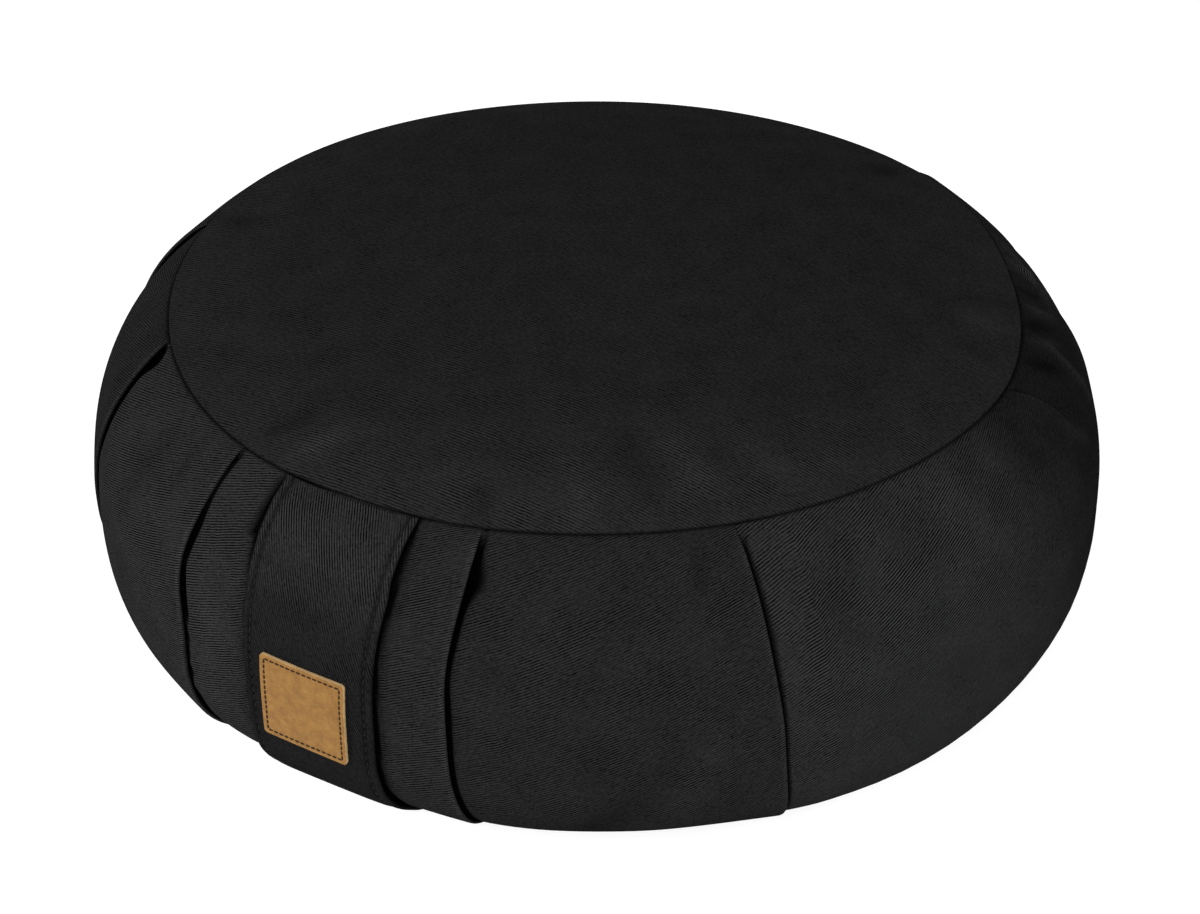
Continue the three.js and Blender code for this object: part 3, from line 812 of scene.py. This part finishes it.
rim_shares = 1 - RIM_STEPS * SEAM_SHOULDER / TOP_SEAM_RADIUS
top_shares = np.concatenate([np.linspace(*TOP_SHARES, TOP_RINGS), rim_shares])
back_shares = top_shares[::BACK_STRIDE]
top_face = np.stack([top_ring(share, 0) for share in top_shares])
top_back = np.stack([top_ring(share, PANEL_THICKNESS) for share in [*back_shares, 1]])
top_rings = np.concatenate([top_back, top_face[::-1]])
top_step = np.linalg.norm(np.diff(top_face[:, 0], axis=0), axis=1)
top_flat = top_shares[0] * TOP_SEAM_RADIUS + np.concatenate([[0], np.cumsum(top_step)])
from_rim = TOP_SEAM_RADIUS * (1 - np.concatenate([back_shares, [1], top_shares[::-1]]))
to_front = top_rings[..., 0] * math.sin(PAINTED_LIGHT_AZIMUTH) - top_rings[..., 1] * math.cos(PAINTED_LIGHT_AZIMUTH)
# Painted light towards the front and round the rim, painted light and shade on the creases, painted shade
# at the seam
top_tone = blend(*PAINTED_LIGHT_TONES, smooth_step(to_front, *PAINTED_LIGHT_REACH)) * crease_tone(top_relief(top_rings))
rim_tone = blend(1, RIM_PAINTED_LIGHT_TONE, smooth_step(TOP_SEAM_RADIUS - from_rim, *RIM_PAINTED_LIGHT_REACH))
rim_tone = rim_tone * blend(SEAM_PAINTED_SHADE, 1, smooth_step(from_rim, 0, SEAM_SHADE))
top_panel = round_panel(
    "crowned_top", top_rings,
    [*back_shares * TOP_SEAM_RADIUS, top_flat[-1] + PANEL_THICKNESS, *top_flat[::-1]],
    top_tone * rim_tone[:, None])
top_panel.data.materials.append(
    twill_cloth("top_twill", TOP_TWILL_PITCH, TOP_TWILL_ANGLE, TOP_RIDGE_SHARE))
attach(top_panel, "root")
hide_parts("top_panel")

# Bottom panel
# The round of twill that the cushion stands on, flat on the floor and curling up at the rim to the
# bottom seam, where it is sewn to the band in the same way as the top.
BOTTOM_RINGS = 18
FOOT_SHARES = [0.04, 0.98]
RIM_RINGS = 8
BOTTOM_BACK_INSET = 1.2 * MM
BOTTOM_TWILL_ANGLE = 30
rim_height = np.linspace(0, BOTTOM_SEAM_HEIGHT - SEAM_GAP, RIM_RINGS)
bottom_heights = np.concatenate([np.zeros(BOTTOM_RINGS), rim_height])
foot_radii = np.linspace(*FOOT_SHARES, BOTTOM_RINGS) * FOOT_RADIUS
bottom_radii = np.concatenate([foot_radii, side_radius(rim_height)])
bottom_face = polar(round_azimuth, bottom_radii[:, None], bottom_heights[:, None])
back_radii, back_heights = bottom_radii - BOTTOM_BACK_INSET, bottom_heights + PANEL_THICKNESS
bottom_back = polar(round_azimuth, back_radii[:, None], back_heights[:, None])
bottom_step = np.hypot(np.diff(bottom_radii), np.diff(bottom_heights))
bottom_flat = bottom_radii[0] + np.concatenate([[0], np.cumsum(bottom_step)])
bottom_rings = np.concatenate([bottom_face, bottom_back[::-1]])
bottom_panel = round_panel(
    "flat_bottom", bottom_rings, [*bottom_flat, *bottom_flat[::-1]], np.ones(bottom_rings.shape[:2]))
bottom_panel.data.materials.append(
    twill_cloth("bottom_twill", TOP_TWILL_PITCH, BOTTOM_TWILL_ANGLE, TOP_RIDGE_SHARE))
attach(bottom_panel, "root")
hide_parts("bottom_panel")

# Carrying strap
# A doubled, turned-edge strap of the twill, sewn into both seams and lying down the side of the
# cushion. Both edges stand a little off the band, and a topstitch runs just inside each.
STRAP_THICKNESS = 2.6 * MM
STRAP_EDGE_THICKNESS = 1.7 * MM
STRAP_END_THICKNESS = 1.2 * MM
STRAP_CLEARANCE = 0.3 * MM
STRAP_ROWS = 90
STRAP_FACE_COLUMNS = 61
STRAP_BACK_COLUMNS = 21
STRAP_EDGE_STEPS = 6
STRAP_FACE_CROWDING = 0.7
STRAP_CURL = 3
STRAP_THINNING = 6
STRAP_TAPER = 8 * MM
STRAP_TWILL_ANGLE = 114
TOPSTITCH_INSET = 3.5 * MM
TOPSTITCH_WIDTH = 0.8 * MM
TOPSTITCH_DEPTH = 0.55 * MM
STRAP_SEAM_INSET = 1.0 * MM
STRAP_TOP = TOP_SEAM_HEIGHT - STRAP_SEAM_INSET
STRAP_BOTTOM = BOTTOM_SEAM_HEIGHT + STRAP_SEAM_INSET

# How far the two edges stand off the band and wander sideways, and the light and shade painted
# up the strap
STRAP_EDGE_HEIGHTS = np.array([8, 14, 24, 36, 48, 62, 80, 100, 112, 120, 128, 135]) * MM
LEFT_EDGE_STAND = np.array([0.1, 0.2, 0.4, 0.6, 0.6, 0.6, 0.6, 0.8, 1.6, 2.4, 2.4, 0.7]) * MM
RIGHT_EDGE_STAND = np.array([0.1, 0.2, 0.4, 0.8, 1.0, 1.1, 1.1, 1.1, 1.4, 1.4, 1.2, 0.6]) * MM
LEFT_EDGE_WANDER = np.array([1.6, 1.6, 1.6, 1.0, 0.3, 0.2, 0.1, -0.2, -0.3, 0, 0.4, 0.2]) * MM
RIGHT_EDGE_WANDER = np.array([2.4, 2.6, 2.4, 1.2, 0.2, 0.3, 0.1, 0.2, 0.6, -0.6, -0.8, -0.3]) * MM
STRAP_PAINTED_LIGHT = np.array([0.74, 0.74, 0.72, 0.68, 0.64, 0.64, 0.66, 0.74, 1.0, 1.17, 1.17, 1.12])
TOPSTITCH_PAINTED_SHADE = 0.45
STRAP_BACK_PAINTED_SHADE = 0.1


# A value from such a column of the table, eased between its rows
def along_strap(height, column):
    row = np.clip(np.searchsorted(STRAP_EDGE_HEIGHTS, height) - 1, 0, len(STRAP_EDGE_HEIGHTS) - 2)
    share = smooth_step(height, STRAP_EDGE_HEIGHTS[row], STRAP_EDGE_HEIGHTS[row + 1])
    return blend(column[row], column[row + 1], share)


# Such a value for the half of the strap that a place lies in; across is -1 at the left edge and 1
# at the right
def by_half(across, height, left, right):
    return np.where(across > 0, along_strap(height, right), along_strap(height, left))


# How near a place is to a line of topstitching
def on_topstitch(across):
    return hump(STRAP_WIDTH / 2 * (1 - np.abs(across)), TOPSTITCH_INSET, TOPSTITCH_WIDTH)


# Offset of the strap's inner face from the band
def strap_inner(across, height):
    stand = by_half(across, height, LEFT_EDGE_STAND, RIGHT_EDGE_STAND)
    return STRAP_CLEARANCE + stand * np.abs(across) ** STRAP_CURL


# Offset of its outer face, with the topstitches pressed in along both edges
def strap_outer(across, height):
    from_end = np.minimum(height - STRAP_BOTTOM, STRAP_TOP - height)
    thickness = blend(STRAP_THICKNESS, STRAP_EDGE_THICKNESS, np.abs(across) ** STRAP_THINNING)
    thickness = blend(STRAP_END_THICKNESS, thickness, smooth_step(from_end, 0, STRAP_TAPER))
    return strap_inner(across, height) + thickness - TOPSTITCH_DEPTH * on_topstitch(across)


def strap_point(across, height, offset):
    wander = by_half(across, height, LEFT_EDGE_WANDER, RIGHT_EDGE_WANDER)
    sideways = STRAP_WIDTH / 2 * across + wander * across ** 2
    return band_point(sideways / (side_radius(height) + STRAP_THICKNESS), height, offset)


# One closed section: over the face, round the right edge, back under it and round the left edge
strap_height = blend(STRAP_BOTTOM, STRAP_TOP, row_shares(STRAP_ROWS))[:, None]
round_share = STRAP_EDGE_THICKNESS / STRAP_WIDTH
even_across = np.linspace(-1, 1, STRAP_FACE_COLUMNS)
crowded_across = blend(even_across, np.sin(even_across * math.pi / 2), STRAP_FACE_CROWDING)
face_across = (1 - round_share) * crowded_across[None, :]
back_across = (1 - round_share) * np.linspace(1, -1, STRAP_BACK_COLUMNS)[None, :]
edge_angle = np.linspace(0, math.pi, STRAP_EDGE_STEPS + 2)[1:-1][None, :]
right_across = 1 - round_share + round_share * np.sin(edge_angle)
right_edge = 1 - round_share + np.zeros_like(edge_angle)
outer_share = (1 + np.cos(edge_angle)) / 2


# Offsets round one edge, at shares of the way from the inner face to the outer
def edge_offset(side, share):
    across = side * right_edge
    return blend(strap_inner(across, strap_height), strap_outer(across, strap_height), share)


strap_loops = np.concatenate([
    strap_point(face_across, strap_height, strap_outer(face_across, strap_height)),
    strap_point(right_across, strap_height, edge_offset(1, outer_share)),
    strap_point(back_across, strap_height, strap_inner(back_across, strap_height)),
    strap_point(-right_across, strap_height, edge_offset(-1, 1 - outer_share)),
], axis=1)
strap_faces = loft_faces(*strap_loops.shape[:2])
strap_step = np.hypot(np.diff(side_radius(strap_height[:, 0])), np.diff(strap_height[:, 0]))
strap_up = np.concatenate([[0], np.cumsum(strap_step)])
strap_length = float(strap_up[-1])
strap_round = np.linalg.norm(np.diff(strap_loops, axis=1), axis=2)
strap_round = np.concatenate([np.zeros((len(strap_up), 1)), np.cumsum(strap_round, axis=1)], axis=1)
strap_round -= strap_round[:, STRAP_FACE_COLUMNS // 2][:, None]
strap_flat = np.stack([strap_round, np.broadcast_to(strap_up[:, None], strap_round.shape)], axis=-1)
strap = cloth_piece(
    "carrying_strap", strap_loops.reshape(-1, 3), strap_faces,
    strap_flat.reshape(-1, 2)[np.array(strap_faces).ravel()])
# Painted shade in the topstitch lines, on the strap's back and under its edges, and painted light up the
# strap
section_tone = np.concatenate([
    blend(1, TOPSTITCH_PAINTED_SHADE, on_topstitch(face_across)), blend(STRAP_BACK_PAINTED_SHADE, 1, outer_share),
    np.full_like(back_across, STRAP_BACK_PAINTED_SHADE), blend(1, STRAP_BACK_PAINTED_SHADE, outer_share)], axis=1)
paint_shading(strap, along_strap(strap_height, STRAP_PAINTED_LIGHT) * section_tone)
close_ends(strap)
strap.data.materials.append(
    twill_cloth("strap_twill", BAND_TWILL_PITCH, STRAP_TWILL_ANGLE, BAND_RIDGE_SHARE))
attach(strap, "root")
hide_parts("handle_strap")

# Topstitching of the strap
# Two rows of black thread, sewn through both layers of the strap just inside its turned edges.
# Each stitch dips into the cloth at its ends.
STITCH_LENGTH = 2.9 * MM
STITCH_GAP = 0.8 * MM
STITCH_MARGIN = 6 * MM
TILT_STEP = 0.02
THREAD_RADIUS = 0.3 * MM
STITCH_RINGS = np.array([0, 0.14, 0.5, 0.86, 1])
STITCH_SWELL = np.array([0.4, 0.9, 1, 0.9, 0.4])
STITCH_RISE = np.array([-0.9, -0.1, 0.25, -0.1, -0.9])
STITCH_SIDES = 6
BLACK_THREAD = [(0.002, 0.002, 0.002), (0.008, 0.008, 0.008)]
THREAD_ROUGHNESS = 0.7
THREAD_SPECULAR = 0.1
TWIST_SCALE = 2600
TWIST_DETAIL = 2
TWIST_RANGE = (0.35, 0.65)
TWIST_DEPTH = 0.06 * MM


# Short lengths of thread as one mesh: their two ends, and the cloth's outward direction at each
def thread_stitches(name, starts, ends, outwards, radius):
    turns = np.linspace(0, 2 * math.pi, STITCH_SIDES, endpoint=False)
    sideways = np.cross(outwards, ends - starts)
    sideways /= np.linalg.norm(sideways, axis=1, keepdims=True)
    middle = starts[:, None] + (ends - starts)[:, None] * STITCH_RINGS[None, :, None]
    middle = middle + outwards[:, None] * (radius * STITCH_RISE)[None, :, None]
    spoke = (
        sideways[:, None, None] * np.cos(turns)[None, None, :, None]
        + outwards[:, None, None] * np.sin(turns)[None, None, :, None])
    points = middle[:, :, None] + spoke * (radius * STITCH_SWELL)[None, :, None, None]
    one = len(STITCH_RINGS) * STITCH_SIDES
    at = lambda ring, side: ring * STITCH_SIDES + side % STITCH_SIDES
    faces = [
        (at(ring, side), at(ring, side + 1), at(ring + 1, side + 1), at(ring + 1, side))
        for ring in range(len(STITCH_RINGS) - 1) for side in range(STITCH_SIDES)
    ]
    faces.append(tuple(reversed(range(STITCH_SIDES))))
    faces.append(tuple(range(one - STITCH_SIDES, one)))
    mesh = bpy.data.meshes.new(name)
    every_face = [
        tuple(corner + one * stitch for corner in face) for stitch in range(len(starts)) for face in faces]
    mesh.from_pydata(points.reshape(-1, 3).tolist(), [], every_face)
    return smooth_piece(name, mesh)


def sewing_thread(name, dark, light):
    thread = start_finish(name, THREAD_ROUGHNESS, THREAD_SPECULAR)
    place = add_node(thread, "TexCoord", {}).outputs["Object"]
    twist = add_noise(thread, place, TWIST_SCALE, TWIST_DETAIL)
    return end_finish(thread, add_ramp(thread, twist, dark, light, TWIST_RANGE), twist, TWIST_DEPTH)


def strap_face_point(across, height):
    return strap_point(across, height, strap_outer(across, height))


stitch_across = 1 - TOPSTITCH_INSET / (STRAP_WIDTH / 2)
stitch_starts = np.arange(STITCH_MARGIN, strap_length - STITCH_MARGIN, STITCH_LENGTH + STITCH_GAP)
starts, ends, outwards = [], [], []
for side in (-1, 1):
    across = np.full(len(stitch_starts), side * stitch_across)
    low = np.interp(stitch_starts, strap_up, strap_height[:, 0])
    high = np.interp(stitch_starts + STITCH_LENGTH, strap_up, strap_height[:, 0])
    starts.append(strap_face_point(across, low))
    ends.append(strap_face_point(across, high))
    beside = strap_face_point(across - TILT_STEP, low) - strap_face_point(across + TILT_STEP, low)
    outward = np.cross(ends[-1] - starts[-1], beside)
    outwards.append(outward / np.linalg.norm(outward, axis=1, keepdims=True))
topstitch = thread_stitches(
    "strap_topstitch", np.concatenate(starts), np.concatenate(ends), np.concatenate(outwards),
    THREAD_RADIUS)
topstitch.data.materials.append(sewing_thread("black_thread", *BLACK_THREAD))
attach(topstitch, "root")

# Leather patch
# A square of tan vegetable-tanned leather with rounded corners and paler cut edges. It lies a little
# askew on the strap, and a stitching line is pressed in just inside its edge.
PATCH_WIDTH = 36.6 * MM
PATCH_LENGTH = 36.6 * MM
PATCH_THICKNESS = 1.3 * MM
PATCH_CORNER_RADIUS = 1.5 * MM
PATCH_CORNER_STEPS = 6
PATCH_EDGE_ROUND = 0.4 * MM
PATCH_EDGE_STEPS = 3
PATCH_EDGE_ANGLE = math.radians(50)
PATCH_CLEARANCE = 0.15 * MM
PATCH_SIDE = -0.8 * MM
PATCH_HEIGHT = 64.2 * MM
PATCH_TURN = math.radians(1.5)
PATCH_CUT_STEP = 1.1 * MM
PATCH_STITCH_INSET = 1.8 * MM
PATCH_LINE_WIDTH = 0.45 * MM
PATCH_LINE_DEPTH = 0.3 * MM
IN_FRONT = 1.1 * CUSHION_RADIUS
LINE_CUTS = np.array([-1, -0.5, 0, 0.5, 1])
TAN_HIDE = [(0.1405, 0.0636, 0.0112), (0.1976, 0.0962, 0.0187)]
CUT_HIDE = [(0.34, 0.22, 0.10), (0.46, 0.31, 0.15)]
HIDE_ROUGHNESS = 0.55
HIDE_SPECULAR = 0.2
MOTTLE_SCALE = 260
MOTTLE_DETAIL = 8
MOTTLE_ROUGHNESS = 0.7
MOTTLE_RANGE = (0.38, 0.64)
GRAIN_SCALE = 1800
GRAIN_DEPTH = 0.06 * MM
GRAIN_STRENGTH = 0.6

# The leather is cut flat in front of the strap
patch_middle = Vector((0, -IN_FRONT, PATCH_HEIGHT))
bpy.ops.object.select_all(action="DESELECT")
bpy.ops.mesh.primitive_plane_add(size=1, location=patch_middle, rotation=(math.pi / 2, 0, 0))
patch = bpy.context.active_object
patch.name = patch.data.name = "leather_square"
patch.scale = (PATCH_WIDTH, PATCH_LENGTH, 1)
bpy.ops.object.transform_apply(location=True, rotation=True, scale=True)
bpy.ops.object.mode_set(mode="EDIT")
bpy.ops.mesh.select_all(action="SELECT")
bpy.ops.mesh.bevel(offset=PATCH_CORNER_RADIUS, segments=PATCH_CORNER_STEPS, affect="VERTICES")


# Cuts the leather being edited, right through, along a direction: evenly, and closer by the stitching
def cut_leather(direction, half):
    even = np.linspace(-half, half, round(2 * half / PATCH_CUT_STEP) + 1)[1:-1]
    line = half - PATCH_STITCH_INSET + PATCH_LINE_WIDTH * LINE_CUTS
    for distance in sorted([*even, *line, *-line]):
        bpy.ops.mesh.select_all(action="SELECT")
        bpy.ops.mesh.bisect(plane_co=patch_middle + float(distance) * direction, plane_no=direction)


cut_leather(Vector((1, 0, 0)), PATCH_WIDTH / 2)
cut_leather(Vector((0, 0, 1)), PATCH_LENGTH / 2)
bpy.ops.object.mode_set(mode="OBJECT")
patch_pressed = []
for vertex in patch.data.vertices:
    beside = PATCH_WIDTH / 2 - PATCH_STITCH_INSET - abs(vertex.co.x)
    above = PATCH_LENGTH / 2 - PATCH_STITCH_INSET - abs(vertex.co.z - PATCH_HEIGHT)
    patch_pressed.append(PATCH_LINE_DEPTH * hump(min(beside, above), 0, PATCH_LINE_WIDTH))


# Where a place of the patch, beside and above its middle, comes to lie once it is turned and moved
def patch_place(beside, above):
    return (
        PATCH_SIDE + beside * math.cos(PATCH_TURN) + above * math.sin(PATCH_TURN),
        PATCH_HEIGHT - beside * math.sin(PATCH_TURN) + above * math.cos(PATCH_TURN))


for vertex in patch.data.vertices:
    vertex.co.x, vertex.co.z = patch_place(vertex.co.x, vertex.co.z - PATCH_HEIGHT)
laid = patch.modifiers.new("laid_on_strap", "SHRINKWRAP")
laid.target = strap
laid.wrap_method = "PROJECT"
laid.use_project_x = laid.use_project_z = False
laid.use_project_y = True
laid.use_positive_direction = laid.use_negative_direction = True
laid.offset = PATCH_CLEARANCE
bpy.ops.object.modifier_apply(modifier=laid.name)
for vertex, pressed in zip(patch.data.vertices, patch_pressed):
    vertex.co.y += pressed


def tan_leather(name, dark, light):
    leather = start_finish(name, HIDE_ROUGHNESS, HIDE_SPECULAR)
    place = add_node(leather, "TexCoord", {}).outputs["Object"]
    mottle = add_noise(leather, place, MOTTLE_SCALE, MOTTLE_DETAIL, MOTTLE_ROUGHNESS)
    colour = add_ramp(leather, mottle, dark, light, MOTTLE_RANGE)
    grain = add_node(leather, "TexVoronoi", {"Vector": place, "Scale": GRAIN_SCALE}).outputs["Distance"]
    return end_finish(leather, colour, grain, GRAIN_DEPTH, GRAIN_STRENGTH)


patch.data.materials.append(tan_leather("tan_hide", *TAN_HIDE))
patch.data.materials.append(tan_leather("cut_hide", *CUT_HIDE))
hide = patch.modifiers.new("hide_thickness", "SOLIDIFY")
hide.thickness = PATCH_THICKNESS
hide.offset = 1
hide.material_offset_rim = 1
bpy.ops.object.modifier_apply(modifier=hide.name)
edges = patch.modifiers.new("rounded_edges", "BEVEL")
edges.width = PATCH_EDGE_ROUND
edges.segments = PATCH_EDGE_STEPS
edges.limit_method = "ANGLE"
edges.angle_limit = PATCH_EDGE_ANGLE
bpy.ops.object.modifier_apply(modifier=edges.name)
patch.data.shade_smooth()
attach(patch, "root")
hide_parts("leather_patch")

# Stitching of the patch
# A running stitch of dark brown thread round the leather, through the strap's outer layer.
# It lies in the pressed line.
PATCH_STITCH = 2.1 * MM
PATCH_STITCHES_A_SIDE = 14
PATCH_THREAD_RADIUS = 0.38 * MM
PATCH_CORNERS = [(-1, -1), (1, -1), (1, 1), (-1, 1)]
BROWN_THREAD = [(0.006, 0.004, 0.002), (0.03, 0.016, 0.008)]


# The patch's outer face at a place seen from the front, and its outward direction there
def on_patch(beside, height):
    from_front = Vector((beside, -IN_FRONT, height))
    place, outward = patch.ray_cast(from_front, Vector((0, 1, 0)))[1:3]
    return np.array(place), np.array(outward)


patch_starts, patch_ends, patch_outwards = [], [], []
line_half = (PATCH_WIDTH / 2 - PATCH_STITCH_INSET, PATCH_LENGTH / 2 - PATCH_STITCH_INSET)
for corner, next_corner in zip(PATCH_CORNERS, PATCH_CORNERS[1:] + PATCH_CORNERS[:1]):
    corner, next_corner = np.array(corner) * line_half, np.array(next_corner) * line_half
    half_share = PATCH_STITCH / np.linalg.norm(next_corner - corner) / 2
    for stitch in range(PATCH_STITCHES_A_SIDE):
        middle_share = (stitch + 0.5) / PATCH_STITCHES_A_SIDE
        first = blend(corner, next_corner, middle_share - half_share)
        last = blend(corner, next_corner, middle_share + half_share)
        start_place, start_out = on_patch(*patch_place(*first))
        end_place, end_out = on_patch(*patch_place(*last))
        patch_starts.append(start_place)
        patch_ends.append(end_place)
        patch_outwards.append((start_out + end_out) / np.linalg.norm(start_out + end_out))
patch_stitches = thread_stitches(
    "patch_stitching", np.array(patch_starts), np.array(patch_ends), np.array(patch_outwards),
    PATCH_THREAD_RADIUS)
patch_stitches.data.materials.append(sewing_thread("brown_thread", *BROWN_THREAD))
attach(patch_stitches, "root")

# Studio
# A floor of white paper, lit so that hardly any shadow shows on it, in a white surround with four
# large soft lights, and the camera at the viewing angle.
FLOOR_SIZE = 12
FLOOR_DROP = 0.2 * MM
PAPER_ROUGHNESS = 0.9
PAPER_SPECULAR = 0.5
PAPER_COLOUR = (0.3, 0.3, 0.3, 1)
PAPER_GLOW = 0.8
WHITE = (1, 1, 1, 1)
SURROUND_STRENGTH = 0.55
SOFTBOX_DISTANCE = 2.2
SOFTBOX_SIZE = 1.0
CAMERA_AZIMUTH = math.radians(30.9)
CAMERA_ELEVATION = math.radians(33.53)
CAMERA_DISTANCE = 1.218
CAMERA_LENS = 89.25
CAMERA_SENSOR = 36
AIM_SIDE = 0.0014
AIM_HEIGHT = 0.0575

# The soft lights: name, azimuth, elevation and power
SOFTBOXES = [
    ("left_softbox", -50, 8, 42),
    ("front_softbox", 15, 30, 36),
    ("right_softbox", 90, 30, 22),
    ("back_softbox", -130, 8, 25),
]

bpy.ops.mesh.primitive_plane_add(size=FLOOR_SIZE, location=(0, 0, -FLOOR_DROP))
floor = bpy.context.active_object
floor.name = "studio_floor"
paper = start_finish("white_paper", PAPER_ROUGHNESS, PAPER_SPECULAR)
paper_shader = paper.node_tree.nodes["Principled BSDF"]
paper_shader.inputs["Base Color"].default_value = PAPER_COLOUR
paper_shader.inputs["Emission Color"].default_value = WHITE
paper_shader.inputs["Emission Strength"].default_value = PAPER_GLOW
floor.data.materials.append(paper)

surround = bpy.data.worlds.new("studio_surround")
surround.use_nodes = True
surround.node_tree.nodes["Background"].inputs["Color"].default_value = WHITE
surround.node_tree.nodes["Background"].inputs["Strength"].default_value = SURROUND_STRENGTH
bpy.context.scene.world = surround


# The direction from the cushion to a place at an azimuth and an elevation
def towards(azimuth, elevation):
    level = math.cos(elevation)
    return Vector((math.sin(azimuth) * level, -math.cos(azimuth) * level, math.sin(elevation)))


for name, azimuth, elevation, power in SOFTBOXES:
    light = bpy.data.lights.new(name, "AREA")
    light.size = SOFTBOX_SIZE
    light.energy = power
    softbox = bpy.data.objects.new(name, light)
    away = towards(math.radians(azimuth), math.radians(elevation))
    softbox.location = Vector((0, 0, AIM_HEIGHT)) + SOFTBOX_DISTANCE * away
    softbox.rotation_euler = (-away).to_track_quat("-Z", "Y").to_euler()
    bpy.context.collection.objects.link(softbox)

camera_lens = bpy.data.cameras.new("photo_camera")
camera_lens.lens = CAMERA_LENS
camera_lens.sensor_width = CAMERA_SENSOR
camera_lens.sensor_fit = "HORIZONTAL"
camera = bpy.data.objects.new("photo_camera", camera_lens)
aim = Vector((AIM_SIDE * math.cos(CAMERA_AZIMUTH), AIM_SIDE * math.sin(CAMERA_AZIMUTH), AIM_HEIGHT))
camera.location = aim + CAMERA_DISTANCE * towards(CAMERA_AZIMUTH, CAMERA_ELEVATION)
camera.rotation_euler = (math.pi / 2 - CAMERA_ELEVATION, 0, CAMERA_AZIMUTH)
bpy.context.collection.objects.link(camera)
bpy.context.scene.camera = camera
bpy.context.scene.view_settings.view_transform = "Standard"
